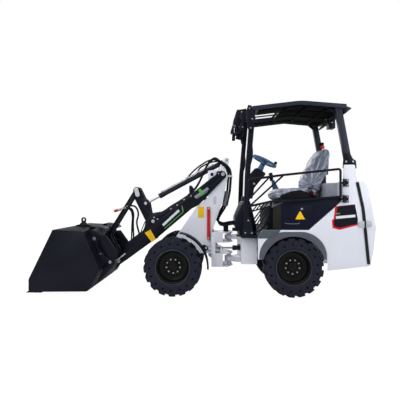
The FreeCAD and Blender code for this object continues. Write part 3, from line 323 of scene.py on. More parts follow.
# %% [markdown]
# ## Finishes
#
# A finish is a small tree of shader nodes. Building one by hand in code is wordy, so a wrapper
# gives sockets ordinary arithmetic: writing 1 - mask * 0.5 adds the Math nodes for it.

# %% Sockets that do sums


class Wire:
    """A socket of a finish. Sums on it add Math nodes to the same finish."""

    def __init__(self, finish, socket):
        self.finish = finish
        self.socket = socket

    def sum(self, operation, first, second):
        return self.finish.node("ShaderNodeMath", {"operation": operation}, {0: first, 1: second})

    def __add__(self, other):
        return self.sum("ADD", self, other)

    def __sub__(self, other):
        return self.sum("SUBTRACT", self, other)

    def __rsub__(self, other):
        return self.sum("SUBTRACT", other, self)

    def __mul__(self, other):
        return self.sum("MULTIPLY", self, other)

    def clamped(self):
        return self.finish.node("ShaderNodeClamp", {}, {"Value": self})


class Finish:
    """A material on the Principled shader, built from one node method."""

    def __init__(self, name, **uniform):
        self.material = bpy.data.materials.new(name)
        self.material.use_nodes = True
        self.tree = self.material.node_tree
        self.shader = self.tree.nodes["Principled BSDF"]
        for socket, value in uniform.items():
            self.shader.inputs[socket.replace("_", " ")].default_value = value
        self.place = self.node("ShaderNodeTexCoord", {}, {}, "Object")

    def node(self, kind, settings, sockets, output=0):
        """Any node: its type, its settings, then values or wires for its sockets."""
        made = self.tree.nodes.new(kind)
        for key, value in settings.items():
            setattr(made, key, value)
        for key, value in sockets.items():
            if isinstance(value, Wire):
                self.tree.links.new(value.socket, made.inputs[key])
            else:
                made.inputs[key].default_value = value
        return Wire(self, made.outputs[output])

    def noise(self, scale, detail=4, rough=0.5, place=None):
        values = {"Vector": place or self.place, "Scale": scale, "Detail": detail}
        return self.node("ShaderNodeTexNoise", {}, {**values, "Roughness": rough})

    def cells(self, scale):
        values = {"Vector": self.place, "Scale": scale}
        return self.node("ShaderNodeTexVoronoi", {}, values, "Distance")

    def band(self, value, low, high):
        """0 below low, 1 above high, smooth between."""
        values = {"Value": value, "From Min": low, "From Max": high}
        return self.node("ShaderNodeMapRange", {"interpolation_type": "SMOOTHSTEP"}, values)

    def axis(self, letter, place=None):
        return self.node("ShaderNodeSeparateXYZ", {}, {"Vector": place or self.place}, letter)

    def mix(self, mask, first, second):
        """One colour over another by a mask."""
        colours = [c if isinstance(c, Wire) else (*c, 1) for c in (first, second)]
        sockets = {0: mask, 6: colours[0], 7: colours[1]}
        return self.node("ShaderNodeMix", {"data_type": "RGBA"}, sockets, 2)

    def bump(self, height, distance, strength=1.0):
        values = {"Height": height, "Distance": distance, "Strength": strength}
        return self.node("ShaderNodeBump", {}, values)

    def out(self, base, roughness, normal):
        for socket, value in (("Base Color", base), ("Roughness", roughness), ("Normal", normal)):
            self.tree.links.new(value.socket, self.shader.inputs[socket])
        return self.material


# %% [markdown]
# Sprayed paint is never one flat colour. It has a faint orange peel, patches that are a touch
# duller, and a little dust that settles low down and on faces that look up.

# %% Sprayed paint


def paint(name, colour, shade, gloss=0.35, dust=0.12, coat=0.25, glare=0.5):
    f = Finish(name, Coat_Roughness=0.12, Specular_IOR_Level=glare, Coat_Weight=coat)
    cloud = f.noise(3.5, 5, 0.6)
    base = f.mix(f.band(cloud, 0.35, 0.7), colour, shade)
    up = f.node("ShaderNodeNewGeometry", {}, {}, "Normal")
    facing_up = f.band(f.axis("Z", up), 0.3, 0.95)
    low = 1 - f.band(f.axis("Z"), 0.05, 0.75)
    speckle = f.band(f.noise(90, 3, 0.6), 0.38, 0.66)
    film = ((facing_up * 0.45 + low * 0.55) * speckle * dust).clamped()
    roughness = (cloud * 0.1 + gloss + film * 0.9).clamped()
    return f.out(f.mix(film, base, (0.36, 0.33, 0.29)), roughness, f.bump(f.noise(260, 2), 0.00012))


INK = {"coat": 0.05, "glare": 0.12}
FLAT = {"coat": 0.1, "glare": 0.2, "dust": 0.02}
WHITE = paint("white paint", (0.755, 0.77, 0.84), (0.72, 0.735, 0.805), 0.3, 0.05)
BLACK = paint("black paint", (0.0045, 0.0052, 0.011), (0.0065, 0.0075, 0.0145), dust=0.015, **INK)
RIM_BLACK = paint("rim paint", (0.003, 0.003, 0.0034), (0.0045, 0.0044, 0.0048), dust=0.012, **INK)
CANOPY = paint("canopy paint", (0.02, 0.024, 0.037), (0.026, 0.03, 0.045), 0.34, 0.02, **INK)
SLATE = paint("slate paint", (0.016, 0.017, 0.028), (0.021, 0.022, 0.034), 0.34, 0.02, **INK)
RED = paint("red paint", (0.6, 0.006, 0.016), (0.52, 0.005, 0.012), gloss=0.3, **FLAT)
YELLOW = paint("yellow plate", (0.92, 0.56, 0.008), (0.85, 0.5, 0.006), gloss=0.4, **FLAT)
GREEN = paint("green stripe", (0.06, 0.4, 0.055), (0.05, 0.34, 0.045), 0.4, 0.06)
GREY = paint("grey paint", (0.26, 0.27, 0.32), (0.22, 0.23, 0.28), 0.42, 0.06)
PALE = paint("pale latch", (0.5, 0.51, 0.55), (0.44, 0.45, 0.49), 0.3, 0.05)
SILVER_INK = paint("silver ink", (0.55, 0.56, 0.6), (0.47, 0.48, 0.52), 0.4, 0.05)
# A lighter bluish grey for a thin ring on the rim's lip: a painted highlight.
LIP_HIGHLIGHT = paint(
    "rim lip", (0.06, 0.068, 0.095), (0.075, 0.084, 0.115), 0.25, 0.02, coat=0.1, glare=0.3
)
print("paints:", len(bpy.data.materials))

# %% [markdown]
# Moulded plastic has a fine leathery grain, and rubber a duller one. Both are a noise in the
# bump, with a second, larger noise that moves the roughness about.

# %% Plastic and rubber


def moulded(name, colour, shade, gloss, grain=0.00025, scale=420, dust=0.06, glare=0.14):
    f = Finish(name, Specular_IOR_Level=glare)
    cloud = f.noise(6, 4, 0.6)
    low = 1 - f.band(f.axis("Z"), 0.02, 0.7)
    speckle = f.band(f.noise(45, 3, 0.65), 0.42, 0.72)
    film = (speckle * (low * 0.65 + 0.35) * dust).clamped()
    base = f.mix(film, f.mix(f.band(cloud, 0.3, 0.75), colour, shade), (0.2, 0.185, 0.165))
    roughness = (cloud * 0.12 + gloss + film * 0.5).clamped()
    return f.out(base, roughness, f.bump(f.cells(scale), grain, 0.7))


PLASTIC = moulded(
    "black plastic", (0.0014, 0.003, 0.0125), (0.0026, 0.0046, 0.0165), 0.45, dust=0.012
)
GREY_PLASTIC = moulded("grey plastic", (0.19, 0.2, 0.23), (0.24, 0.25, 0.28), 0.5)
RUBBER = moulded(
    "tyre rubber", (0.0105, 0.0118, 0.0225), (0.0145, 0.016, 0.0285), 0.58, 0.0004, 300
)
SEAL = moulded("rubber seal", (0.01, 0.01, 0.011), (0.018, 0.018, 0.019), 0.6, 0.0002, 500)
HOSE = moulded(
    "hose rubber", (0.004, 0.0055, 0.0095), (0.0065, 0.0082, 0.0125), 0.5, 0.0002, 700, 0.015
)
BATTERY = moulded("battery case", (0.05, 0.055, 0.06), (0.07, 0.075, 0.08), 0.5)
# Near-black: painted shade at the bottom of the tyre's cushion holes.
PAINTED_HOLE_SHADE = moulded("hole shade", (0.001, 0.001, 0.0012), (0.0016, 0.0016, 0.0018), 0.9, dust=0.0)
# Dark olive: painted shade with a painted greenish reflection, for the panel at the front of each
# flank.
OLIVE_REFLECTION = moulded("olive reflection", (0.012, 0.0125, 0.0075), (0.02, 0.019, 0.012), 0.6, dust=0.03)
STEP_RUBBER = moulded("step rubber", (0.07, 0.088, 0.102), (0.09, 0.108, 0.124), 0.6, dust=0.03)
# Paler than the plastic is, as painted light for the shaded inside of the wheel arch.
LINER_LIGHTENED = moulded("arch liner lightened", (0.33, 0.345, 0.39), (0.38, 0.395, 0.44), 0.6, dust=0.05)
FLANGE = moulded("liner flange", (0.086, 0.089, 0.112), (0.104, 0.107, 0.132), 0.5, dust=0.03)
VINYL = moulded(
    "black vinyl", (0.006, 0.0062, 0.008), (0.0095, 0.0098, 0.012), 0.38, 0.0004, 260, 0.02
)
BELT_RED = moulded("belt red", (0.05, 0.004, 0.008), (0.08, 0.007, 0.012), 0.4, dust=0.02)
TANK = moulded("tank plastic", (0.42, 0.44, 0.51), (0.49, 0.51, 0.58), 0.5, dust=0.04)
# Near-black, darker than black plastic, as painted shade on the roof's underside.
LINING_SHADE = moulded(
    "roof lining shade", (0.001, 0.0012, 0.0007), (0.002, 0.0023, 0.0013), 0.7, dust=0.0, glare=0.04
)


def film_plastic(name, colour, shade, alpha=1.0):
    """Thin protective film shrunk over a moulding: glossy, with fine crinkles."""
    f = Finish(name, Coat_Weight=0.6, Coat_Roughness=0.08, Alpha=alpha)
    fold = f.noise(38, 4, 0.7)
    height = fold * 0.7 + f.noise(150, 3, 0.6) * 0.3
    base = f.mix(f.band(fold, 0.35, 0.7), colour, shade)
    return f.out(base, fold * 0.25 + 0.22, f.bump(height, 0.003, 0.6))


BLUE = film_plastic("blue film", (0.006, 0.085, 0.225), (0.015, 0.15, 0.34))
SKIN = film_plastic("thin blue film", (0.012, 0.17, 0.38), (0.05, 0.36, 0.62), 0.8)

# %% [markdown]
# Bare metal shows in small places: the chromed rods, zinc-plated bolts and pin ends, and the
# worn edge of the bucket. Zinc is matt with a faint crystal pattern, chrome is nearly a mirror.

# %% Metals and glass


def metal(name, colour, shade, gloss, scale):
    f = Finish(name, Metallic=1.0)
    cloud = f.noise(20, 4, 0.6)
    base = f.mix(f.band(f.cells(scale), 0.1, 0.6), colour, shade)
    return f.out(base, cloud * 0.15 + gloss, f.bump(cloud, 0.0002))


ZINC = metal("zinc plate", (0.62, 0.62, 0.63), (0.5, 0.5, 0.52), 0.32, 260)
CHROME = metal("chrome rod", (0.78, 0.78, 0.8), (0.7, 0.7, 0.72), 0.08, 500)
STEEL = metal("worn steel", (0.23, 0.23, 0.24), (0.15, 0.15, 0.16), 0.38, 120)


def lens(name, colour):
    """A ribbed lens: shiny, with fine upright flutes in the bump."""
    f = Finish(name, Coat_Weight=1.0, Coat_Roughness=0.03)
    values = {"Vector": f.place, "Scale": 70.0}
    flutes = f.node("ShaderNodeTexWave", {"bands_direction": "Y"}, values, "Fac")
    base = f.mix(f.band(flutes, 0.2, 0.8), colour, tuple(c * 0.7 for c in colour))
    return f.out(base, flutes * 0.08 + 0.12, f.bump(flutes, 0.001))


CLEAR = lens("lamp lens", (0.62, 0.64, 0.66))
TAIL = lens("tail lens", (0.36, 0.006, 0.008))
AMBER = lens("amber lens", (0.6, 0.16, 0.006))
print("finishes:", len(bpy.data.materials))

# %% [markdown]
# ## Wheels
#
# A solid tyre is a carcass spun round the axle. Seventeen lugs stand on each shoulder, set half
# a step apart from one side to the other, and seventeen round cushion holes go into each wall.
# One lug is modelled flat, bent round the wheel and copied, because all of them are alike.

# %% One lug, bent round the wheel
SIDES = {"left": 1, "right": -1}
FLIP = Matrix.Scale(-1, 4, (0, 1, 0))
WHEEL_R = 0.345
LUGS = 17
STEP = 2 * math.pi / LUGS


def about_axle(angle):
    return Matrix.Rotation(angle, 4, "Y")


LUG_LEAN = 0.16
SHOULDER, NARROWER = 0.09, 0.18
lug = plate("lug", [
    (0.1068, 0.294), (0.1074, 0.326), (0.101, 0.3415), (-0.012, 0.3435), (-0.018, 0.318),
    (0.06, 0.3),
], -0.046, 0.046, "X")
pick_edges(lug, lambda run: abs(run.x) > 0.05)
bpy.ops.mesh.subdivide(number_cuts=3)
done()
ease(lug, 0.003)
for vertex in lug.data.vertices:
    x, y, z = vertex.co
    lean = (x * (1 - NARROWER * (y > SHOULDER)) + LUG_LEAN * y) / WHEEL_R
    vertex.co = (z * math.sin(lean), y, z * math.cos(lean))
print("lug faces:", len(lug.data.polygons))

# %% [markdown]
# The carcass profile lists radius and distance from the tyre's middle. A moulded ring stands
# proud just above the bead, and the wall swells gently towards the shoulder.

# %% Carcass with its cushion holes
HOLE_RING = 0.2716


def in_holes(name, near, far, radius, sides):
    """One short bar in every cushion hole of both walls."""
    bars = []
    for step in range(LUGS):
        for side, shift in ((1, 0.0), (-1, STEP / 2)):
            turn = step * STEP + shift
            x, z = HOLE_RING * math.sin(turn), HOLE_RING * math.cos(turn)
            bars.append(bar(name, (x, side * near, z), (x, side * far, z), radius, sides))
    return bars


wall = [
    (0.1846, 0.0735), (0.2046, 0.0872), (0.212, 0.0965), (0.219, 0.1026), (0.226, 0.1034),
    (0.2285, 0.1058), (0.235, 0.1062), (0.238, 0.104), (0.25, 0.1036), (0.29, 0.1056),
    (0.304, 0.103), (0.316, 0.096), (0.327, 0.07),
]
other_wall = [(radius, -along) for radius, along in reversed(wall)]
carcass = lathe("carcass", wall + [(0.329, 0.0)] + other_wall, steps=102)
carve(carcass, in_holes("hole", 0.07, 0.12, 0.0125, 14))
ease(carcass, 0.0012, angle=40)
ring = [carcass]
for step in range(LUGS):
    ring.append(copy_of(lug, "lug", about_axle(step * STEP)))
    ring.append(copy_of(lug, "lug", about_axle((step + 0.5) * STEP) @ FLIP))
bpy.data.objects.remove(lug)
tyre = join("tyre", ring)
print("tyre faces:", len(tyre.data.polygons))

# %% [markdown]
# The rim is a dished disc welded into a barrel. Nine bright nuts hold it on the hub, and a
# raised cap covers the bearing.

# %% Rim with its nuts
disc = lathe("disc", [
    (0.0, 0.034), (0.0, 0.02), (0.042, 0.02), (0.042, -0.056), (0.092, -0.056),
    (0.092, -0.016), (0.118, -0.006), (0.16, -0.006), (0.1715, -0.034), (0.1715, -0.0735),
    (0.1838, -0.0735), (0.1838, 0.0732), (0.2036, 0.087), (0.2055, 0.094), (0.202, 0.0974),
    (0.188, 0.0955), (0.174, 0.08), (0.174, 0.066), (0.1715, 0.062), (0.1715, 0.027),
    (0.164, 0.012), (0.15, 0.006), (0.113, 0.006), (0.11, 0.012), (0.062, 0.014),
    (0.056, 0.033), (0.05, 0.036), (0.03, 0.036), (0.027, 0.034),
], steps=90)
ease(disc, 0.0015, angle=30)
nut = join("nut", [
    lathe("washer", [(0, 0.011), (0.0095, 0.011), (0.0095, 0.014), (0, 0.014)], steps=18),
    lathe("hexagon", [
        (0, 0.013), (0.008, 0.013), (0.008, 0.022), (0.0068, 0.024), (0, 0.024),
    ], steps=6),
    lathe("stud", [
        (0, 0.022), (0.0042, 0.022), (0.0042, 0.03), (0.0034, 0.0312), (0, 0.0312),
    ], steps=12),
])
NUTS = 9
NUT_RING = 0.0815
nuts = []
for index in range(NUTS):
    turn = math.radians(20) + index * 2 * math.pi / NUTS
    shift = Matrix.Translation((NUT_RING * math.sin(turn), 0, NUT_RING * math.cos(turn)))
    nuts.append(copy_of(nut, "nut", shift @ about_axle(index * 0.7)))
bpy.data.objects.remove(nut)
nuts = join("nuts", nuts)

# %% [markdown]
# The cushion holes are deep, so each gets a near-black disc a little way in as painted shade. A
# thin lighter ring on the rim's lip is a painted highlight.

# %% Hole discs and lip
# A near-black disc a little way into every cushion hole, as painted shade.
hole_shade_discs = join("hole_shade_discs", in_holes("disc", 0.094, 0.0985, 0.0118, 12))
# A thin lighter ring on the rim's lip, as a painted highlight.
lip = lathe("lip", [(0.2012, 0.0968), (0.206, 0.0955), (0.2072, 0.0975), (0.202, 0.099)], steps=80)
ease(lip, 0.0004)

# %% [markdown]
# The four wheels are copies. Each is turned by its own small angle, because wheels never stop
# in step, and the ones on the right are mirrored so that the dish faces outwards.

# %% Four wheels
AXLES = {"front": 0.352, "rear": -1.055}
TRACK = 0.502
PHASE = {"front_left": 0.127, "front_right": 0.21, "rear_left": 0.05, "rear_right": 0.3}
for corner, phase in PHASE.items():
    end, side_name = corner.split("_")
    side = SIDES[side_name]
    hub = Matrix.Translation((AXLES[end], side * TRACK, WHEEL_R))
    mirror = FLIP if side < 0 else Matrix.Identity(4)
    rolled, level = hub @ about_axle(phase) @ mirror, hub @ mirror
    for shape, name, place, slot, finish, replaces in (
        (tyre, "tyre_" + corner + "_solid", rolled, "tyre", RUBBER, ["tyre_" + corner]),
        (disc, "rim_" + corner + "_disc", level, "rim_paint", RIM_BLACK, ["rim_" + corner]),
        (nuts, "wheel_nuts_" + corner, level, "rim_paint", ZINC, []),
        (hole_shade_discs, "tyre_holes_" + corner, rolled, "tyre", PAINTED_HOLE_SHADE, []),
        (lip, "rim_lip_" + corner, level, "rim_paint", LIP_HIGHLIGHT, []),
    ):
        hand_over(copy_of(shape, name, place), "wheel_" + corner, slot, finish, replaces)
for spare in (tyre, disc, nuts, hole_shade_discs, lip):
    bpy.data.objects.remove(spare)
print("four wheels stand for", len(STOOD_FOR), "nodes")

# %% [markdown]
# ## Small hardware
#
# Pins, bolts and keeper plates appear all over the machine, so each is a function. Side is 1 on
# the driver's left and -1 on the right, and y is where the hardware touches the steel.

# %% Hardware kit


def facing(name, ledge, x, y, z, side, steps=28):
    """A small lathe shape standing on a face that looks towards side."""
    profile = [(radius, side * along) for radius, along in ledge]
    return lathe(name, profile, (x, y, z), steps=steps)


def pin_end(x, y, z, side, radius, height=0.006):
    return facing("pin_end", [
        (0, -0.001), (radius, -0.001), (radius, height * 0.6), (radius * 0.92, height),
        (radius * 0.32, height), (radius * 0.26, height * 0.6), (0, height * 0.6),
    ], x, y, z, side)


def bolt_parts(r):
    """Name, number of sides and profile of a bolt's flange and head."""
    flange = [(0, -0.001), (r * 1.3, -0.001), (r * 1.3, r * 0.25), (0, r * 0.25)]
    head = [(0, 0), (r, 0), (r, r * 0.7), (r * 0.85, r * 0.9), (0, r * 0.9)]
    return [("flange", 14, flange), ("head", 6, head)]


def bolt(x, y, z, side, radius):
    parts = bolt_parts(radius)
    return join("bolt", [facing(name, line, x, y, z, side, steps) for name, steps, line in parts])


def cap_bolt(x, y, z, radius):
    """The same bolt standing on a level face."""
    parts = bolt_parts(radius)
    return join("bolt", [lathe(name, line, (x, y, z), "Z", steps) for name, steps, line in parts])


def in_pairs(make, y, *rows):
    """The same hardware on both sides at y. A row is x and z, then the sizes."""
    return [make(x, side * y, z, side, *size) for side in SIDES.values() for x, z, *size in rows]


def oval(start, end, radius, steps=9):
    """Outline of a plate with round ends between two points."""
    start, end = Vector(start), Vector(end)
    along = (end - start).normalized()
    outline = []
    for middle, turn in ((end, -90), (start, 90)):
        for step in range(steps + 1):
            angle = math.radians(turn + 180 * step / steps)
            arm = along * math.cos(angle) + Vector((-along.y, along.x)) * math.sin(angle)
            outline.append(tuple(middle + arm * radius))
    return outline


def stripe(start, end, width):
    """Outline of a straight band between two points."""
    start, end = Vector(start), Vector(end)
    along = (end - start).normalized()
    aside = Vector((-along.y, along.x)) * width / 2
    return [tuple(p) for p in (start + aside, end + aside, end - aside, start - aside)]


SINK = 0.0003


def on_face(name, outline, y, side, height):
    """A thin plate on a face that looks towards side, sunk a hair so that no light gets under."""
    return plate(name, outline, y - side * SINK, y + side * height)


def keepers(y, height, *ovals):
    """Round-ended keeper plates on both sides."""
    return [
        on_face("keeper", oval(*run), side * y, side, height)
        for side in SIDES.values() for run in ovals
    ]


def on_flanks(name, faces, body, slot, finish, edge=0.0):
    """Thin plates on both flanks. A face is its outline, how far out it lies and its thickness."""
    for side_name, side in SIDES.items():
        pieces = [on_face("face", line, side * y, side, height) for line, y, height in faces]
        fit(name + "_" + side_name, pieces, body, slot, finish, edge)


# %% [markdown]
# ## Boom and bucket
#
# The boom carries its stripes on both sides, with plain plates where a maker would put words.

# %% Stripes and plates on the boom
BOOM_FACE = 0.128
INK_DEPTH = 0.0006
SLASH = [(0.074, 1.262), (0.04, 1.278), (-0.012, 1.216), (0.022, 1.186)]
on_flanks("boom_green", [
    (stripe((0.505, 0.762), (0.262, 0.98), 0.009), BOOM_FACE, INK_DEPTH),
    (stripe((0.2655, 0.978), (0.281, 1.056), 0.013), BOOM_FACE, INK_DEPTH),
    (SLASH, BOOM_FACE, 0.001),
], "boom", "black_paint", GREEN)
on_flanks("boom_bar", [
    (stripe((0.528, 0.804), (0.318, 0.998), 0.031), BOOM_FACE, INK_DEPTH),
], "boom", "black_paint", WHITE)
on_flanks("boom_shade", [
    (stripe((0.112, 1.165), (-0.06, 1.284), 0.034), BOOM_FACE, INK_DEPTH),
    (stripe((0.088, 1.148), (-0.052, 1.244), 0.007), BOOM_FACE, INK_DEPTH),
], "boom", "black_paint", GREY)
on_flanks("boom_plate", [
    ([(0.764, 0.706), (0.69, 0.748), (0.618, 0.622), (0.672, 0.584)], BOOM_FACE, 0.0008),
], "boom", "black_paint", YELLOW)

# %% [markdown]
# Pins end in zinc-plated caps. A keeper plate with a bolt stops each pin from turning.

# %% Pin ends and keepers
fit("boom_pin_ends", (
    in_pairs(pin_end, 0.136, (0.655, 0.856, 0.022))
    + in_pairs(pin_end, 0.142, (1.104, 0.341, 0.025))
    + in_pairs(bolt, BOOM_FACE, (0.641, 0.905, 0.008), (0.597, 0.884, 0.008))
    + in_pairs(bolt, 0.134, (-0.19, 1.471, 0.007))
), "boom", "rod_chrome", ZINC)
fit("boom_keepers", (
    keepers(BOOM_FACE, 0.007, ((1.104, 0.341), (1.06, 0.392), 0.032)) + keepers(
        BOOM_FACE, 0.006,
        ((-0.248, 1.463), (-0.196, 1.47), 0.034), ((0.655, 0.856), (0.7, 0.835), 0.03),
    )
), "boom", "black_paint", BLACK)
fit("mast_pin_ends", (
    in_pairs(pin_end, 0.136, (-0.248, 1.463, 0.025))
    + in_pairs(pin_end, 0.06, (-0.3, 1.655, 0.018))
    + in_pairs(pin_end, 0.04, (-0.118, 0.563, 0.018, 0.004))
), "front_frame", "rod_chrome", ZINC)
fit("lever_keepers", (
    keepers(0.0725, 0.006, ((0.885, 1.268), (0.868, 1.2), 0.027))
    + in_pairs(pin_end, 0.08, (0.885, 1.263, 0.018, 0.004))
    + in_pairs(bolt, 0.0785, (0.87, 1.205, 0.006))
), "tilt_link", "rod_chrome", ZINC)
fit("lever_pin_ends", in_pairs(pin_end, 0.058, (0.765, 1.087, 0.02, 0.004)),
    "tilt_lever", "rod_chrome", ZINC)

# %% [markdown]
# The coupler locks the bucket with two pins that a cable-and-handle pulls back. The handle is a
# bent rod with a zinc-plated grip, and a lip above the bucket keeps spilt earth off the pins.

# %% Coupler and bucket hardware
fit("bucket_pin_ends", (
    in_pairs(pin_end, 0.4, (1.342, 0.656, 0.024), (1.141, 0.369, 0.02))
    + in_pairs(bolt, 0.4, (1.262, 0.47, 0.008))
), "coupler", "rod_chrome", ZINC)
fit("lock_handle", [
    tube("rod", [
        (1.118, 0.33, 0.392), (1.085, 0.345, 0.385), (1.05, 0.35, 0.4), (0.985, 0.35, 0.452),
    ], 0.0065),
    bar("grip", (1.012, 0.35, 0.431), (0.962, 0.35, 0.471), 0.0095, 16),
], "coupler", "rod_chrome", ZINC)
GUARD = [
    (1.395, 0.766), (1.382, 0.8), (1.24, 0.786), (1.205, 0.742), (1.199, 0.745),
    (1.236, 0.793), (1.386, 0.807), (1.402, 0.768),
]
fit("spill_guard", [
    plate("guard", GUARD, side * 0.14, side * 0.42) for side in SIDES.values()
], "coupler", "black_paint", BLACK, 0.0015)

# %% Weld beads in lighter slate as a painted edge highlight, foot of the lifting eye and wear parts
BEAD_Y = 0.6455
# The beads on the rear edges of the bucket's side plates are lighter than the black steel, so they
# draw a pale line there: a painted edge highlight.
fit("bucket_bead_highlights", [
    tube("bead", [
        (1.398, side * BEAD_Y, 0.756), (1.3, side * BEAD_Y, 0.534), (1.208, side * BEAD_Y, 0.326),
    ], 0.0042, 8)
    for side in SIDES.values()
], "coupler", "black_paint", SLATE)
fit("eye_foot", [plate("foot", [
    (1.715, 0.781), (1.712, 0.795), (1.664, 0.806), (1.64, 0.83), (1.575, 0.83),
    (1.552, 0.806), (1.5, 0.79), (1.498, 0.772),
], -0.0095, 0.0095)], "coupler", "black_paint", BLACK, 0.002)
fit("edge_bolts", [cap_bolt(1.965, -0.54 + index * 0.18, 0.0715, 0.01) for index in range(7)],
    "coupler", "rod_chrome", STEEL)
fit("bucket_skids", [
    block("skid", (1.4, y - 0.03, 0.052), (1.86, y + 0.03, 0.064)) for y in (-0.38, 0.0, 0.38)
], "coupler", "black_paint", STEEL, 0.003)
print("boom, coupler and bucket done")

# %% [markdown]
# ## Cylinders
#
# A hydraulic cylinder ends in a gland, the screwed collar that the rod slides through, and its
# oil comes in through two port blocks. A steel pipe carries oil along to the far port.

# %% Cylinder trim


def on_line(start, end, run, out=0.0, up=(0, 0, 1)):
    """A point at a distance along a line from start, moved out from it towards up."""
    start, end, up = Vector(start), Vector(end), Vector(up)
    along = (end - start).normalized()
    aside = (up - along * up.dot(along)).normalized()
    return start + along * run + aside * out


def cylinder_trim(body, start, end, barrel, radius, up=(0, 0, 1)):
    """Gland, rings, two ports and the pipe between them, for a barrel of this length."""

    def at(run, out=0.0):
        return on_line(start, end, run, out, up)

    fit(body + "_gland", [
        bar("gland", at(barrel - 0.034), at(barrel - 0.001), radius + 0.0035, 36),
        bar("lock_ring", at(barrel - 0.044), at(barrel - 0.037), radius + 0.002, 36),
        bar("weld_ring", at(0.052), at(0.06), radius + 0.002, 36),
    ], body, "black_paint", SLATE, 0.0012)
    far = barrel - 0.06
    ports = [
        bar("port", at(run, radius - 0.006), at(run, radius + 0.016), 0.013, 6)
        for run in (0.085, far)
    ]
    pipe = tube("pipe", [
        at(0.175, radius + 0.002), at(0.185, radius + 0.009), at(0.21, radius + 0.01),
        at(far - 0.05, radius + 0.01), at(far - 0.015, radius + 0.01), at(far, radius + 0.006),
    ], 0.005)
    fit(body + "_ports", ports + [pipe], body, "rod_chrome", ZINC)
    dress(body, "black_paint", SLATE)


TILT = ((-0.3, 0, 1.655), (0.765, 0, 1.087))
cylinder_trim("tilt_barrel", *TILT, 1.01, 0.032)
cylinder_trim("lift_barrel", (-0.118, 0, 0.563), (-0.008, 0, 1.213), 0.56, 0.039, (1, 0, 0))
cylinder_trim("steering_barrel", (-0.64, 0.12, 0.52), (-0.22, 0.17, 0.52), 0.262, 0.029)

# %% [markdown]
# ## Hoses
#
# A hose is a smooth tube with a crimped ferrule and a hexagon nut at its ends. It bends gently, so
# a few chosen points on a NURBS line give its run. A hose over a hinge is one long mesh, kept in
# world space.

# %% Hose kit


def ferrule(at, towards, radius):
    """The nut and the crimped sleeve at the end of a hose."""
    at, towards = Vector(at), Vector(towards)
    along = (towards - at).normalized()
    return [
        bar("nut", at - along * 0.004, at + along * 0.014, radius * 1.7, 6),
        bar("sleeve", at + along * 0.012, at + along * 0.044, radius * 1.28, 16),
    ]


def at_y(points, y):
    return [(x, y, z) for x, z in points]


# %% Hoses from the mast head to the boom
OVER = [
    (-0.3, 1.56), (-0.262, 1.6), (-0.205, 1.645), (-0.147, 1.69), (-0.075, 1.64),
    (-0.03, 1.565), (0.01, 1.475), (0.06, 1.365), (0.12, 1.268), (0.205, 1.195),
]
OUTER = [
    (-0.205, 1.646), (-0.13, 1.668), (-0.06, 1.652), (0.02, 1.606), (0.11, 1.54),
    (0.18, 1.47), (0.232, 1.412),
]
INNER = [
    (-0.2, 1.645), (-0.12, 1.64), (-0.04, 1.612), (0.045, 1.565), (0.075, 1.525),
    (0.092, 1.484),
]
fit("boom_hoses", [tube("hose", at_y(OVER, side * 0.07), 0.0105, 12) for side in SIDES.values()],
    ("front_frame", "boom"), "hose_rubber", HOSE, bend=((-0.19, 0, 1.6), (0.02, 0, 1.4)))
runs = [at_y(OUTER, 0.013), at_y(INNER, -0.013)]
fit("tilt_hoses", [tube("hose", run, 0.0102, 12) for run in runs],
    "tilt_barrel", "hose_rubber", HOSE)
middle, half = on_line(*TILT, 0.4, 0.038), Vector((0.02, 0.03, 0.008))
clamp = ease(block("clamp", middle - half, middle + half), 0.002)
ends = [piece for run in runs for piece in ferrule(run[-1], run[-2], 0.0098)]
fit("tilt_fittings", ends + [clamp], "tilt_barrel", "rod_chrome", ZINC)

# %% [markdown]
# The boom carries its own steel lines between the plates. A bent black lug holds them at the
# rear, and small bolts through the plates hold their clamps.

# %% Lines on the boom
LUG = [
    (0.116, 1.18), (0.14, 1.285), (0.158, 1.318), (0.18, 1.322), (0.19, 1.3), (0.186, 1.18),
]
LINE = [
    (0.205, 1.195), (0.33, 1.11), (0.42, 1.062), (0.52, 0.985), (0.6, 0.96),
    (0.69, 0.95), (0.77, 0.86), (0.83, 0.69),
]
fit("hose_lug", [plate("lug", LUG, y - 0.004, y + 0.004) for y in (0.1, -0.1)],
    "boom", "black_paint", BLACK, 0.0015)
fit("boom_lines", [tube("line", at_y(LINE, y), 0.006) for y in (0.086, -0.086)],
    "boom", "hose_rubber", HOSE)
STUDS = ((0.163, 1.184), (0.252, 1.136), (0.342, 1.066), (0.424, 1.02))
fit("line_studs", in_pairs(bolt, BOOM_FACE, *[(x, z, 0.0075) for x, z in STUDS]),
    "boom", "rod_chrome", ZINC)

# %% [markdown]
# Two quick connectors wait for a tool with its own motor. A bent bar on the left of the boom
# carries them side by side, each with a red dust cap and a green ring.

# %% Quick connectors
TAIL_END, NOSE = Vector((1.032, 0, 1.024)), Vector((1.165, 0, 0.985))
PLUG_HOSES = {
    0.098: [
        (0.918, 0.083, 0.6), (0.922, 0.083, 0.72), (0.925, 0.088, 0.85),
        (0.912, 0.094, 0.96), (0.955, 0.098, 1.04), (1.02, 0.098, 1.027),
    ],
    0.136: [
        (0.826, 0.092, 0.64), (0.858, 0.092, 0.74), (0.88, 0.098, 0.85),
        (0.842, 0.11, 0.945), (0.876, 0.126, 1.052), (0.965, 0.136, 1.062),
        (1.02, 0.136, 1.027),
    ],
}


def collar(name, y, start, end, radius, sides=24):
    """A round piece of the connector at y, between two distances from its tail."""
    along = (NOSE - TAIL_END).normalized()
    tail = TAIL_END + Vector((0, y, 0))
    return bar(name, tail + along * start, tail + along * end, radius, sides)


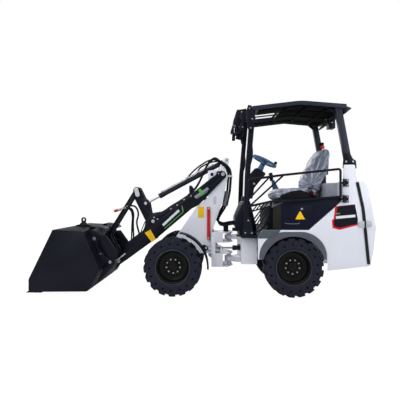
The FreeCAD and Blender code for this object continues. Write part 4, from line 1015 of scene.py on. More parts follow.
fit("plug_stands", [
    tube("stand", [
        (0.945, 0.102, 0.56), (0.94, 0.102, 0.68), (0.936, 0.108, 0.8),
        (0.924, 0.116, 0.93), (0.955, 0.117, 1.024), (1.028, 0.117, 1.03),
    ], 0.009),
    plate("bracket", oval((0.098, 1.024), (0.136, 1.024), 0.0215), 1.03, 1.037, "X"),
], "boom", "black_paint", BLACK)
fit("plug_hoses", [tube("hose", run, 0.0115, 12) for run in PLUG_HOSES.values()],
    "boom", "hose_rubber", HOSE)
bodies, caps, rings = [], [], []
for y, run in PLUG_HOSES.items():
    bodies += ferrule(run[-1], run[-2], 0.008)
    bodies.append(collar("body", y, 0.004, 0.058, 0.0125))
    bodies.append(collar("hexagon", y, 0.018, 0.034, 0.015, 6))
    bodies.append(collar("sleeve", y, 0.056, 0.088, 0.0155))
    rings.append(collar("ring", y, 0.07, 0.086, 0.0162))
    caps.append(collar("cap", y, 0.088, 0.134, 0.0162))
    caps.append(collar("lip", y, 0.088, 0.096, 0.0178))
fit("plug_bodies", bodies, "boom", "rod_chrome", ZINC, 0.0008)
fit("plug_caps", caps, "boom", "red_paint", RED, 0.0018)
fit("plug_rings", rings, "boom", "black_plastic", GREEN, 0.0008)
print("quick connectors done")

# %% [markdown]
# ## Mast
#
# The mast plates are plain welded steel. They carry a blank yellow plate, a pale mark where the
# lifting point is, and the pins and bolts of the linkage.

# %% Plates and pins on the mast
MAST_FACE = 0.1
on_flanks("mast_plate", [
    ([(-0.004, 0.9), (0.074, 0.9), (0.074, 1.046), (-0.004, 1.046)], MAST_FACE, 0.0012),
], "front_frame", "white_paint", YELLOW, 0.0005)
on_flanks("mast_mark", [(oval((-0.146, 1.158), (-0.144, 1.092), 0.021), MAST_FACE, 0.0008)],
    "front_frame", "white_paint", SILVER_INK)
fit("mast_cross_bar", [bar("tube", (-0.108, -0.097, 1.462), (-0.108, 0.097, 1.462), 0.0215, 32)],
    "front_frame", "black_paint", BLACK)
fit("strut_pin_ends", [pin_end(-0.063, 0.1355, z, 1, 0.013) for z in (0.64, 1.024)],
    "front_frame", "rod_chrome", ZINC)
fit("hinge_cap", [lathe("cap", [
    (0, 0), (0.024, 0), (0.024, 0.005), (0.018, 0.008), (0, 0.008),
], (-0.33, 0, 0.724), "Z", 32)], "front_frame", "rod_chrome", ZINC)

# %% [markdown]
# A rubber lip edges each mudguard, a bolted lug holds it, and an apron closes the gap between
# the mast's foot and the hinge post.

# %% Mudguard lips, lugs and aprons
GUARD_AT = (0.34, 0.345)


def arc(centre, radius, start, end, steps):
    """(x, z) points of an arc round a centre, by angle from the level line to the front."""
    angles = [math.radians(start + (end - start) * step / steps) for step in range(steps + 1)]
    return [(centre[0] + radius * math.cos(a), centre[1] + radius * math.sin(a)) for a in angles]


lip = arc(GUARD_AT, 0.4125, 183, 112, 24) + arc(GUARD_AT, 0.39, 112, 183, 24)
on_flanks("mudguard_lip", [(lip, 0.594, 0.014)], "front_frame", "black_plastic", PLASTIC, 0.002)
on_flanks("frame_apron", [([
    (-0.06, 0.56), (-0.06, 0.418), (-0.128, 0.347), (-0.215, 0.347), (-0.215, 0.5),
    (-0.17, 0.56),
], 0.1003, 0.006)], "front_frame", "white_paint", WHITE, 0.0015)
for side_name, side in SIDES.items():
    fit("mudguard_lug_" + side_name, [plate("lug", [
        (-0.0115, 0.5485), (0.02, 0.596), (-0.022, 0.604), (-0.054, 0.586), (-0.068, 0.56),
        (-0.052, 0.538), (-0.03, 0.528),
    ], side * 0.52, side * 0.56)], "front_frame", "black_paint", BLACK, 0.002)
    fit("mudguard_bolt_" + side_name, [bolt(-0.04, side * 0.56, 0.57, side, 0.009)],
        "front_frame", "rod_chrome", ZINC)

# %% [markdown]
# ## Hoses over the frame hinge
#
# Four hoses leave the mast head, run down behind the mast, dip under and enter the console of the
# rear frame. They swing with the steering on the machine; here they stay in world space as one
# mesh.

# %% Hinge hoses
BUNDLE = [
    (-0.215, 1.628), (-0.285, 1.585), (-0.33, 1.525), (-0.34, 1.44), (-0.334, 1.35),
    (-0.327, 1.25), (-0.306, 1.15), (-0.272, 1.05), (-0.212, 0.955), (-0.172, 0.88),
    (-0.2, 0.812), (-0.262, 0.796), (-0.33, 0.812), (-0.378, 0.818), (-0.42, 0.832),
]
DIP_Z, DIP_DEPTH = 0.81, 0.1
HEAD_Z, HEAD_DEPTH = 1.34, 0.15
RADIUS = 0.0138
strands = []
for foot_y, head_y, shift in ((0.054, 0.0705, -0.016), (0.019, 0.05, 0.018)):
    for side in SIDES.values():
        route = []
        for x, z in BUNDLE:
            low = share(1 - abs(z - DIP_Z) / DIP_DEPTH)
            high = share((z - HEAD_Z) / HEAD_DEPTH)
            y = side * (foot_y + (head_y - foot_y) * high)
            route.append((x + shift * (1 - low), y, z + max(0.0, shift) * 1.6 * low))
        strands.append(tube("strand", route, RADIUS, 12))
fit("hinge_hoses", strands, ("front_frame", "rear_frame"), "hose_rubber", HOSE,
    bend=((-0.24, 0, 0.86), (-0.39, 0, 0.8)),
    replaces=["hose_bundle_front", "hose_bundle_rear"])

# %% [markdown]
# A pale corrugated sleeve saves the hoses from chafing half-way down. Its wall goes in and out
# like a bellows, which a lathe profile with a repeated tooth gives at once.

# %% Sleeve and clamp
ridges = []
for index in range(19):
    z = index * 0.01
    ridges += [(0.029, z), (0.033, z + 0.003), (0.033, z + 0.007)]
sleeve = turned("hose_sleeve", [(0.026, 0.0)] + ridges + [(0.026, 0.19)], 40, (
    Matrix.Translation((-0.278, 0, 1.058)) @ Matrix.Rotation(-math.atan2(0.035, 0.182), 4, "Y")
    @ Matrix.Diagonal((1.22, 2.2, 1, 1))
))
hand_over(sleeve, "front_frame", "grey_plastic", GREY_PLASTIC)
fit("hose_strap", [block("strap", (-0.377, -0.079, 1.432), (-0.298, 0.079, 1.452))],
    "front_frame", "white_paint", WHITE, 0.004)
fit("hose_guide", [
    block("guide", (-0.3215, -0.0375, 0.7185), (-0.2585, 0.0375, 0.796)),
    block("guide", (-0.3215, -0.044, 0.7185), (-0.2585, 0.044, 0.73)),
], "front_frame", "black_paint", BLACK, 0.003)
fit("hinge_step", [block("step", (-0.445, -0.05, 0.724), (-0.375, 0.05, 0.766))],
    "rear_frame", "black_paint", BLACK, 0.003)
fit("conduit", [tube("conduit", [
    (-0.458, 0.11, 1.075), (-0.436, 0.11, 1.02), (-0.398, 0.11, 0.935),
    (-0.392, 0.11, 0.88), (-0.425, 0.11, 0.85),
], 0.013)], "rear_frame", "grey_plastic", GREY_PLASTIC)

# %% [markdown]
# ## Body sides
#
# Each black side panel has a door with a lock, a blank yellow triangle and a thin handle. The
# white flank carries a black panel with a red edge and no words.

# %% Panels on both flanks
PANEL_FACE = 0.588
FLANK_FACE = 0.59
ON_DOOR = PANEL_FACE + 0.0032
ON_CREST = FLANK_FACE + 0.0024
PANELS = [
    ("side_door", [
        (-0.925, 0.812), (-0.925, 1.058), (-0.95, 1.076), (-1.246, 1.08), (-1.262, 1.062),
        (-1.262, 1.024), (-1.188, 0.812),
    ], PANEL_FACE, 0.0032, "black_paint", PLASTIC, 0.0012),
    ("crest_bar", stripe((-1.534, 0.929), (-1.752, 0.949), 0.03),
        ON_CREST, 0.0012, "white_paint", WHITE, 0.0),
    ("crest_dash", stripe((-1.53, 0.973), (-1.578, 0.977), 0.012),
        ON_CREST, 0.0012, "white_paint", GREEN, 0.0),
    ("side_triangle", [
        (-1.126, 0.999), (-1.12, 0.999), (-1.072, 0.913), (-1.074, 0.908), (-1.176, 0.908),
        (-1.178, 0.913), (-1.13, 0.999),
    ], ON_DOOR, 0.0008, "black_paint", YELLOW, 0.0),
    ("crest_edge", [
        (-1.525, 1.058), (-1.75, 1.082), (-1.783, 0.905), (-1.778, 0.842), (-1.573, 0.787),
        (-1.494, 0.809), (-1.487, 0.9), (-1.508, 0.915),
    ], FLANK_FACE, 0.0006, "white_paint", RED, 0.0),
    ("crest", [
        (-1.553, 1.0575), (-1.7495, 1.0815), (-1.7825, 0.905), (-1.7775, 0.858), (-1.575, 0.812),
        (-1.512, 0.829), (-1.507, 0.893), (-1.531, 0.912),
    ], FLANK_FACE, 0.0012, "white_paint", BLACK, 0.0),
    ("step_cover", [
        (-0.642, 0.684), (-0.644, 0.704), (-0.655, 0.725), (-0.69, 0.779), (-0.712, 0.7832),
        (-0.905, 0.7832), (-0.896, 0.77), (-0.866, 0.738), (-0.826, 0.708), (-0.768, 0.686),
    ], FLANK_FACE, 0.003, "black_plastic", STEP_RUBBER, 0.0008),
    # Dark olive panel: painted shade with a painted greenish reflection on it.
    ("boot_reflection_panel", [
        (-0.8135, 0.8), (-0.8135, 1.03), (-0.836, 1.048), (-0.902, 1.076), (-0.906, 0.8),
    ], PANEL_FACE, 0.0022, "black_plastic", OLIVE_REFLECTION, 0.0008),
]
for name, outline, y, height, slot, finish, edge in PANELS:
    on_flanks(name, [(outline, y, height)], "rear_frame", slot, finish, edge)

# %% Locks and handles
LOCK = [(0, 0), (0.012, 0), (0.012, 0.003), (0.01, 0.0042), (0, 0.0042)]
for side_name, side in SIDES.items():
    y = side * ON_DOOR
    mark = y + side * 0.0042
    fit("side_lock_" + side_name, [
        facing("lock", LOCK, -1.144, y, 1.028, side),
        block("slot", (-1.1455, mark - 0.001, 1.021), (-1.1425, mark + 0.001, 1.035)),
    ], "rear_frame", "rod_chrome", ZINC)
    fit("side_handle_" + side_name, [tube("grip", [
        (-0.953, y, 0.868), (-0.96, y + side * 0.007, 0.86), (-0.985, y + side * 0.008, 0.856),
        (-1.085, y + side * 0.008, 0.856), (-1.11, y + side * 0.007, 0.86), (-1.118, y, 0.868),
    ], 0.0032)], "rear_frame", "grey_plastic", GREY_PLASTIC)

# %% [markdown]
# A black rubber strip follows the seam in front of the hood, and a white toggle latch pulls the
# hood shut on each side.

# %% Seal strips and latches
SEAM = [(-1.792, 1.335), (-1.848, 1.075), (-1.8565, 1.03), (-1.8635, 0.975), (-1.921, 0.396)]
STRIP = 0.035
inner = [(x + STRIP, z) for x, z in reversed(SEAM)]
on_flanks("seal_strip", [(SEAM + inner, 0.5908, 0.007)], "rear_hood", "black_plastic", SEAL, 0.002)
on_flanks("latch_arm", [
    ([(-1.872, 0.89), (-1.918, 0.893), (-1.934, 0.882), (-1.938, 0.832), (-1.926, 0.82),
      (-1.872, 0.814)], 0.588, 0.013),
    ([(-1.876, 0.866), (-1.926, 0.868), (-1.926, 0.842), (-1.876, 0.84)], 0.6, 0.006),
], "rear_hood", "white_paint", PALE, 0.003)
LATCH = [
    (-1.776, 0.836), (-1.782, 0.868), (-1.8, 0.884), (-1.853, 0.89), (-1.853, 0.809),
    (-1.794, 0.816),
]
KNOB = [(0, 0.01), (0.02, 0.01), (0.02, 0.016), (0.016, 0.02), (0, 0.02)]
for side_name, side in SIDES.items():
    y = side * FLANK_FACE
    fit("latch_base_" + side_name, [
        on_face("base", LATCH, y, side, 0.011), facing("knob", KNOB, -1.808, y, 0.85, side),
    ], "rear_frame", "white_paint", PALE, 0.003)
print("flanks done")

# %% [markdown]
# ## Back of the hood
#
# The hood's back leans, so things on it are placed by their height and pushed out from the
# sloping line. Louvres let warm air out, and the lamps, a handle and a blank plate sit below.

# %% Louvres, tail lamps and handle
BACK = [(-1.892, 1.289), (-1.988, 0.809), (-1.96, 0.56), (-1.926, 0.376)]


def back_x(z):
    """Where the hood's back is at a height."""
    for (x_top, z_top), (x_low, z_low) in zip(BACK, BACK[1:]):
        if z >= z_low:
            return x_top + (x_low - x_top) * (z_top - z) / (z_top - z_low)


def on_back(name, y_low, y_high, z_low, z_high, out, sink=0.002):
    """A plate that follows the leaning back between two heights."""
    return plate(name, [
        (back_x(z_low) + sink, z_low), (back_x(z_high) + sink, z_high),
        (back_x(z_high) - out, z_high), (back_x(z_low) - out, z_low),
    ], y_low, y_high)


louvres = [on_back("field", -0.33, 0.33, 0.985, 1.225, 0.002)]
for index in range(9):
    z = 1.0 + index * 0.025
    x = back_x(z)
    louvres.append(plate("louvre", [
        (x, z + 0.016), (x - 0.014, z + 0.004), (x - 0.014, z), (x, z + 0.011),
    ], -0.315, 0.315))
louvres += [on_back("frame", y, y + 0.012, 0.985, 1.225, 0.01) for y in (-0.33, 0.318)]
fit("hood_louvres", louvres, "rear_hood", "black_plastic", PLASTIC, 0.0008)
LENSES = (
    ("red", TAIL, 0.94, 1.01), ("amber", AMBER, 0.892, 0.936), ("clear", CLEAR, 0.85, 0.888),
)
for side_name, side in SIDES.items():
    low, high = sorted((side * 0.43, side * 0.52))
    shell = on_back("shell", low - 0.008, high + 0.008, 0.842, 1.018, 0.012)
    fit("tail_shell_" + side_name, [shell], "rear_hood", "black_plastic", PLASTIC, 0.003)
    for tint, finish, z_low, z_high in LENSES:
        glass = on_back("glass", low, high, z_low, z_high, 0.022, 0.0)
        name = "tail_" + tint + "_" + side_name
        fit(name, [glass], "rear_hood", "black_plastic", finish, 0.005, 3)
HANDLE_Z = 0.9
x = back_x(HANDLE_Z)
HANDLE = [(0, -0.11), (0.036, -0.106), (0.04, -0.08), (0.04, 0.08), (0.036, 0.106), (0, 0.11)]
feet = [
    bar("foot", (x + 0.001, y, HANDLE_Z), (x - 0.006, y, HANDLE_Z), 0.02, 28)
    for y in (-0.11, 0.11)
]
grip = tube("grip", [(x - out, y, HANDLE_Z) for out, y in HANDLE], 0.009, 12)
fit("hood_handle", [grip] + feet, "rear_hood", "black_plastic", PLASTIC)
fit("blank_plate", [on_back("card", -0.13, 0.13, 0.6, 0.72, 0.004)],
    "rear_hood", "white_paint", WHITE, 0.0012)
fit("plate_frame", [
    on_back("bar", *sides, 0.007) for sides in (
        (-0.14, 0.14, 0.588, 0.6), (-0.14, 0.14, 0.72, 0.732),
        (-0.14, -0.13, 0.588, 0.732), (0.13, 0.14, 0.588, 0.732),
    )
], "rear_hood", "black_plastic", PLASTIC, 0.001)
print("back of the hood done")

# %% [markdown]
# ## Canopy
#
# Lamps get clear lenses in black frames. The posts have gusset plates with bolts at head and
# foot, as bolted roll-over frames do.

# %% Lamp lenses
LAMP_Y = 0.3
for side_name, side in SIDES.items():
    fit("lamp_glass_" + side_name, [plate("glass", [
        (-0.4085, 2.218), (-0.4035, 2.2195), (-0.3645, 2.093), (-0.3695, 2.0915),
    ], side * LAMP_Y - 0.05, side * LAMP_Y + 0.05)], "rear_frame", "black_plastic", CLEAR, 0.0012)
fit("rear_lamp_glass", [block("glass", (-1.703, -0.05, 2.074), (-1.699, 0.05, 2.166))],
    "rear_frame", "black_plastic", CLEAR, 0.0012)

# %% Post gussets
on_flanks("post_gussets", [
    ([(-1.63, 1.5), (-1.632, 1.56), (-1.643, 1.672), (-1.712, 1.68), (-1.748, 1.61),
      (-1.782, 1.59), (-1.79, 1.506), (-1.78, 1.496)], 0.528, 0.008),
    ([(-0.48, 0.716), (-0.48, 0.86), (-0.52, 0.93), (-0.56, 0.93), (-0.6, 0.716)],
     0.528, 0.006),
], "rear_frame", "black_paint", BLACK, 0.0015)


def bolts_on_flanks(name, *rows):
    """Bolts on both flanks. A row is how far out they are, their radius, then their places."""
    for side_name, side in SIDES.items():
        fit(name + "_" + side_name, [
            bolt(x, side * y, z, side, radius) for y, radius, *places in rows for x, z in places
        ], "rear_frame", "rod_chrome", ZINC)


bolts_on_flanks(
    "post_bolts",
    (0.536, 0.0085, (-1.668, 1.53), (-1.668, 1.578), (-1.748, 1.53), (-1.748, 1.578)),
    (0.534, 0.0075, (-0.5, 0.745), (-0.575, 0.745), (-0.535, 0.89)),
)
print("canopy hardware done")

# %% [markdown]
# ## Arch liners
#
# The liner inside each wheel opening is grey plastic, made paler than it is as painted light for
# the arch's shaded inside, and its flange is darker. Outside the flange follows the opening, two
# upright sides and a flat top joined by large round corners; inside it follows the tyre at a small
# distance.

# %% Liner flanges
OPENING = {"rear_x": -1.432, "front_x": -0.655, "top": 0.762, "corner": 0.3, "foot": 0.445}


def arch_line(inset):
    """The wheel opening's line, drawn in by inset, from its rear foot over to its front foot."""
    turn = OPENING["corner"] - inset
    middle_z = OPENING["top"] - OPENING["corner"]
    rear, front = OPENING["rear_x"] + inset, OPENING["front_x"] - inset
    corners = arc((rear + turn, middle_z), turn, 180, 90, 12)
    corners += arc((front - turn, middle_z), turn, 90, 0, 12)
    return [(rear - 0.003, OPENING["foot"])] + corners + [(front, OPENING["foot"])]


round_tyre = arc((AXLES["rear"], WHEEL_R), 0.362, 16.2, 163.8, 36)
on_flanks("liner_flange", [(arch_line(0.0006) + round_tyre, 0.5842, 0.0022)],
    "rear_frame", "grey_plastic", FLANGE, 0.0008)
# The liners take the lightened grey: painted light inside the arch.
for side_name in SIDES:
    dress("arch_liner_" + side_name, "grey_plastic", LINER_LIGHTENED, 0.0015)

# %% [markdown]
# ## Gate and foot guard
#
# The gate is one bent tube with two slanting bars. A tube bends tightly at a corner and is
# straight between corners, so each corner gets a point before and after it on the NURBS line.

# %% Gate
GATE_Y = 0.612
HINGE_X = -1.618
HINGES_Z = (1.143, 1.328)


def bent_tube(name, points, corner, radius, y):
    """A tube at y with one more control point on each side of every corner."""
    points = [Vector(p) for p in at_y(points, y)]
    route = [points[0]]
    for before, at, after in zip(points, points[1:], points[2:]):
        route.append(at + (before - at).normalized() * corner)
        route.append(at)
        route.append(at + (after - at).normalized() * corner)
    return tube(name, route + [points[-1]], radius, 16)


gate = [
    bent_tube("upper", [
        (-1.578, 1.16), (-1.578, 1.487), (-0.9, 1.4155), (-0.524, 1.364), (-0.512, 1.05),
    ], 0.062, 0.0138, GATE_Y),
    bent_tube("lower", [
        (-0.512, 1.052), (-0.8, 1.118), (-1.1, 1.124), (-1.578, 1.171),
    ], 0.05, 0.013, GATE_Y),
    bar("bar", (-0.765, GATE_Y, 1.389), (-0.522, GATE_Y, 1.128), 0.01),
    bar("bar", (-0.925, GATE_Y, 1.41), (-0.545, GATE_Y, 1.062), 0.0105),
]
studs = []
for z in HINGES_Z:
    ends = (HINGE_X, GATE_Y, z - 0.03), (HINGE_X, GATE_Y, z + 0.03)
    gate.append(bar("knuckle", *ends, 0.0158, 28))
    gate.append(block(
        "strap", (-1.612, GATE_Y - 0.008, z - 0.012), (-1.58, GATE_Y + 0.008, z + 0.012)
    ))
    studs += [bolt(-1.66, 0.596, z + shift, 1, 0.0062) for shift in (-0.026, 0.026)]
    studs.append(cap_bolt(HINGE_X, GATE_Y, z + 0.042, 0.0095))
fit("gate_frame", gate, "side_gate", "black_paint", BLACK, replaces=["side_gate"])
fit("gate_bolts", studs, "rear_frame", "rod_chrome", ZINC)

# %% Foot guard
GUARD_Y = 0.5


def rail(x0, z0, x1, z1, radius):
    return bar("rail", (x0, GUARD_Y, z0), (x1, GUARD_Y, z1), radius, 14)


guard = [
    rail(-0.548, 1.052, -0.8, 1.112, 0.0085), rail(-0.56, 0.99, -0.806, 1.062, 0.0085),
    tube("end", at_y([
        (-0.805, 1.104), (-0.801, 1.0), (-0.768, 0.9), (-0.726, 0.815), (-0.69, 0.788),
        (-0.682, 0.704),
    ], GUARD_Y), 0.012, 14),
    rail(-0.6, 0.735, -0.69, 0.79, 0.0085),
]
for i in range(-1, 3):
    x, z = -0.042 * i, 0.009 * i
    guard.append(rail(x - 0.691, 1.088 + 0.01 * i, x - 0.626, 1.008 + z, 0.007))
for i in range(4):
    guard.append(rail(
        -0.7 - 0.031 * i, 1.03 + 0.009 * i, -0.604 - 0.013 * i, 0.905 - 0.04 * i, 0.008
    ))
fit("guard_rails", guard, "rear_frame", "black_paint", BLACK, replaces=["foot_guard"])
print("gate and guard done")

# %% [markdown]
# ## Steering wheel and lever
#
# The wheel and the lever's boot are still in their blue film. Three broad spokes run to a domed
# hub, and a black knob stands on the rim.

# %% Steering wheel
FOOT, TOP = Vector((-0.545, 0, 1.15)), Vector((-0.775, 0, 1.6))
COLUMN = (TOP - FOOT).normalized()
TILTED = COLUMN.to_track_quat("Z", "Y").to_matrix().to_4x4()
WHEEL_CENTRE = TOP + COLUMN * 0.045
WHEEL_AT = Matrix.Translation(WHEEL_CENTRE) @ TILTED
SPOKE = [
    (0.03, -0.026), (0.1, -0.015), (0.156, -0.022), (0.156, 0.022), (0.1, 0.015),
    (0.03, 0.026),
]
wheel = [
    lathe("grip", arc((0.159, 0), 0.016, 0, 337.5, 15), axis="Z", steps=72),
    lathe("hub", [
        (0.0, -0.045), (0.034, -0.045), (0.036, -0.02), (0.052, -0.012), (0.054, 0.0),
        (0.046, 0.012), (0.02, 0.018), (0.0, 0.019),
    ], axis="Z", steps=48),
]
for angle in (90, 210, 330):
    spoke = plate("spoke", SPOKE, -0.01, 0.002, "Z")
    spoke.data.transform(Matrix.Rotation(math.radians(angle), 4, "Z"))
    wheel.append(spoke)
wheel = ease(join("steering_grip", wheel), 0.003, 3)
wheel.data.transform(WHEEL_AT)
hand_over(wheel, "rear_frame", "blue_plastic", BLUE, ["steering_wheel"])
skin = turned("steering_film", [
    (0.05, 0.008), (0.09, -0.006), (0.13, -0.002), (0.154, 0.01), (0.154, 0.0112),
    (0.13, -0.0008), (0.09, -0.0048), (0.05, 0.0092),
], 60, WHEEL_AT)
hand_over(skin, "rear_frame", "blue_plastic", SKIN)
outward = Vector((COLUMN.z, 0, -COLUMN.x)) * -0.142
knob = turned("steering_knob", [
    (0.0, 0.008), (0.01, 0.008), (0.01, 0.028), (0.019, 0.032), (0.022, 0.044),
    (0.019, 0.058), (0.01, 0.064), (0.0, 0.065),
], 32, Matrix.Translation(WHEEL_CENTRE + outward) @ TILTED)
hand_over(knob, "rear_frame", "black_plastic", PLASTIC)
cone = turned("column_wrap", [
    (0.0, 0.4), (0.037, 0.4), (0.04, 0.43), (0.034, 0.48), (0.035, 0.498), (0.0, 0.498),
], 40, Matrix.Translation(FOOT) @ TILTED)
hand_over(ease(cone, 0.002), "rear_frame", "blue_plastic", BLUE)
dot = facing("column_stud", [
    (0, -0.002), (0.015, -0.002), (0.015, 0.003), (0.011, 0.006), (0, 0.006),
], -0.656, 0.066, 1.342, 1)
hand_over(dot, "rear_frame", "rod_chrome", ZINC)

# %% Lever boot and knob
boot = turned("lever_boot", [
    (0.0, 0.0), (0.056, 0.0), (0.053, 0.02), (0.045, 0.026), (0.047, 0.052), (0.038, 0.06),
    (0.04, 0.086), (0.031, 0.096), (0.033, 0.122), (0.024, 0.132), (0.024, 0.16),
    (0.018, 0.176), (0.0, 0.176),
], 36, Matrix.Translation((-1.032, -0.47, 1.25)) @ about_axle(math.radians(17)))
hand_over(ease(boot, 0.003), "rear_frame", "blue_plastic", BLUE)
head = turned("lever_head", [
    (0.0, 0.0), (0.018, 0.0), (0.025, 0.02), (0.026, 0.06), (0.029, 0.085), (0.024, 0.106),
    (0.012, 0.113), (0.0, 0.114),
], 28, Matrix.Translation((-0.966, -0.47, 1.412)) @ about_axle(math.radians(9)))
hand_over(head, "rear_frame", "black_plastic", PLASTIC)
print("wheel and lever done")

# %% [markdown]
# ## The seat
#
# The seat is still in its clear film, which hangs loosely over the cushion and the backrest in
# long folds. A cloth simulation with a little pressure and a little spare fabric makes them:
# the padded form blows out against its own skin, and a limit on each point keeps it in place.
# On the backrest the folds run out from a knot low down, where the film is gathered.

# %% Film over padding
KNOT_X, KNOT_Z = -1.345, 1.318
FRAMES = 20
SPARE = 0.06
REACH = 0.022
FOLD_LIFT = 0.5


def film_finish(name, colour, shade, stretch=None):
    """Cloudy plastic film, glossy, whose long soft dark and light streaks along its folds paint
    their shade and sheen.
    """
    f = Finish(name, Coat_Weight=0.3, Coat_Roughness=0.1)
    if stretch:
        where = f.node("ShaderNodeMapping", {}, {"Vector": f.place, "Scale": stretch})
    else:
        from_knot = {0: f.axis("Z") - KNOT_Z, 1: f.axis("X") - KNOT_X}
        turn = f.node("ShaderNodeMath", {"operation": "ARCTAN2"}, from_knot)
        where = f.node("ShaderNodeCombineXYZ", {}, {
            "X": turn * 6.5, "Y": f.axis("Y") * 7.0, "Z": f.axis("Z") * 2.4,
        })
    streak = f.noise(1.0, 4, 0.66, where)
    mixed = streak * 0.82 + f.noise(75, 3, 0.6) * 0.18
    # The streaks pick between the two colours: the dark one paints shade in the folds, the light
    # one paints sheen on them.
    base = f.mix(f.band(mixed, 0.4, 0.6), shade, colour)
    return f.out(base, streak * 0.22 + 0.24, f.bump(mixed, 0.01, 0.9))


# Each film has a pale tone for painted sheen and a darker one for painted shade in its folds.
BACK_FILM = film_finish("back film", (0.54, 0.585, 0.72), (0.12, 0.136, 0.19))
SEAT_FILM = film_finish("cushion film", (0.54, 0.58, 0.7), (0.21, 0.235, 0.31), (13, 9, 30))


def soften(obj):
    """Blow the form up as cloth with spare fabric; no point moves further than REACH."""
    start = [vertex.co.copy() for vertex in obj.data.vertices]
    cloth = obj.modifiers.new("cloth", "CLOTH")
    cloth.settings.quality = 4
    cloth.settings.mass = 0.2
    cloth.settings.use_pressure = True
    cloth.settings.uniform_pressure_force = 4
    cloth.settings.shrink_min = -SPARE
    cloth.settings.effector_weights.gravity = 0
    cloth.settings.bending_stiffness = 0.05
    cloth.point_cache.frame_start = 1
    cloth.point_cache.frame_end = FRAMES
    for frame_number in range(1, FRAMES + 1):
        bpy.context.scene.frame_set(frame_number)
    apply_all(obj)
    bpy.context.scene.frame_set(1)
    for vertex, origin in zip(obj.data.vertices, start):
        move = vertex.co - origin
        if move.length > REACH:
            vertex.co = origin + move * (REACH / move.length)


def crease(obj, stretch, depth, seed):
    """Long folds: the surface goes in and out along a noise that is stretched one way."""
    shift = Vector((seed, seed * 1.7, seed * 0.6))
    moves = []
    for vertex in obj.data.vertices:
        x, y, z = vertex.co
        if stretch:
            place = Vector((x * stretch[0], y * stretch[1], z * stretch[2])) + shift
        else:
            turn = math.atan2(z - KNOT_Z, x - KNOT_X)
            away = math.hypot(z - KNOT_Z, x - KNOT_X)
            place = Vector((turn * 4.2, y * 7.0, away * 3.0)) + shift
        ridge = 1 - 2 * abs(noise.noise(place))
        fine = noise.noise(place * 2.3)
        moves.append(vertex.normal * depth * (0.75 * ridge + 0.35 * fine - FOLD_LIFT))
    for vertex, move in zip(obj.data.vertices, moves):
        vertex.co += move


def rounded_plan(obj, half, middle, depth, reach, narrow):
    """Draw the front edges back towards the sides, and narrow the form towards its top."""
    for vertex in obj.data.vertices:
        x, y, z = vertex.co
        front = share((x - middle(z)) / reach)
        vertex.co.x = x - depth * front * share(abs(y) / half) ** 3.2
        vertex.co.y = y * (1 - narrow * share((z - 1.45) / 0.32) ** 2)


def wrapped(name, outline, half, plan, stretch, depth, seed):
    """A padded form in loose film, from its side outline."""
    form = plate(name, outline, -half, half)
    ease(form, 0.026, 4, 30)
    form.data.remesh_voxel_size = 0.0055
    alone(form)
    bpy.ops.object.voxel_remesh()
    rounded_plan(form, half, *plan)
    soften(form)
    crease(form, stretch, depth, seed)
    finer = form.modifiers.new("finer", "SUBSURF")
    finer.levels = finer.render_levels = 1
    apply_all(form)
    bpy.ops.object.shade_smooth()
    form.name = form.data.name = name
    print(name, len(form.data.polygons), [round(c, 3) for c in form.dimensions])
    return form


# %% Backrest and cushion
back = wrapped("seat_back_film", [
    (-1.268, 1.285), (-1.262, 1.335), (-1.284, 1.404), (-1.338, 1.52), (-1.405, 1.655),
    (-1.458, 1.722), (-1.52, 1.764), (-1.572, 1.756), (-1.584, 1.722), (-1.566, 1.64),
    (-1.562, 1.56), (-1.572, 1.52), (-1.5, 1.4), (-1.482, 1.33), (-1.458, 1.262),
    (-1.424, 1.226), (-1.372, 1.268),
], 0.218, (lambda z: -1.36 - 0.3 * (z - 1.25), 0.075, 0.09, 0.24), None, 0.013, 3.1)
hand_over(back, "rear_frame", "seat_fabric", BACK_FILM, ["seat_back"])
cushion = wrapped("seat_cushion_film", [
    (-0.872, 1.15), (-0.868, 1.2), (-0.888, 1.238), (-0.93, 1.254), (-1.06, 1.258),
    (-1.2, 1.262), (-1.3, 1.266), (-1.4, 1.252), (-1.405, 1.19), (-0.99, 1.19),
    (-0.945, 1.146), (-0.9, 1.14),
], 0.222, (lambda z: -1.0, 0.055, 0.12, 0.0), (13, 9, 26), 0.01, 7.7)
hand_over(cushion, "rear_frame", "seat_fabric", SEAT_FILM, ["seat_cushion"])

# %% [markdown]
# Below the film shows the black pan with its vinyl skirt, and the belt's buckle in dark red.

# %% Pan, buckle and belt
dress("rear_tank", "grey_plastic", TANK, 0.006, 3)
SKIRT = [
    (-0.933, 1.112), (-0.945, 1.152), (-0.985, 1.196), (-1.098, 1.24), (-1.215, 1.256),
    (-1.3, 1.228), (-1.352, 1.196), (-1.41, 1.186), (-1.41, 1.164), (-1.3, 1.134),
    (-1.036, 1.108),
]
TRAY = [(-0.95, 1.12), (-0.96, 1.15), (-1.4, 1.18), (-1.4, 1.16), (-1.04, 1.118)]
skirts = [plate("skirt", SKIRT, side * 0.205, side * 0.235) for side in SIDES.values()]
fit("seat_pan", skirts + [plate("tray", TRAY, -0.2, 0.2)],
    "rear_frame", "seat_fabric", VINYL, 0.006, 3)
fit("belt_buckle", [plate("buckle", [
    (-1.3, 1.284), (-1.33, 1.29), (-1.348, 1.252), (-1.378, 1.2), (-1.35, 1.188),
    (-1.316, 1.2),
], 0.238, 0.262)], "rear_frame", "seat_fabric", BELT_RED, 0.006, 3)
fit("belt_stalk", [tube("stalk", [
    (-1.345, 0.244, 1.236), (-1.352, 0.244, 1.19), (-1.372, 0.236, 1.158),
], 0.012)], "rear_frame", "seat_fabric", VINYL)
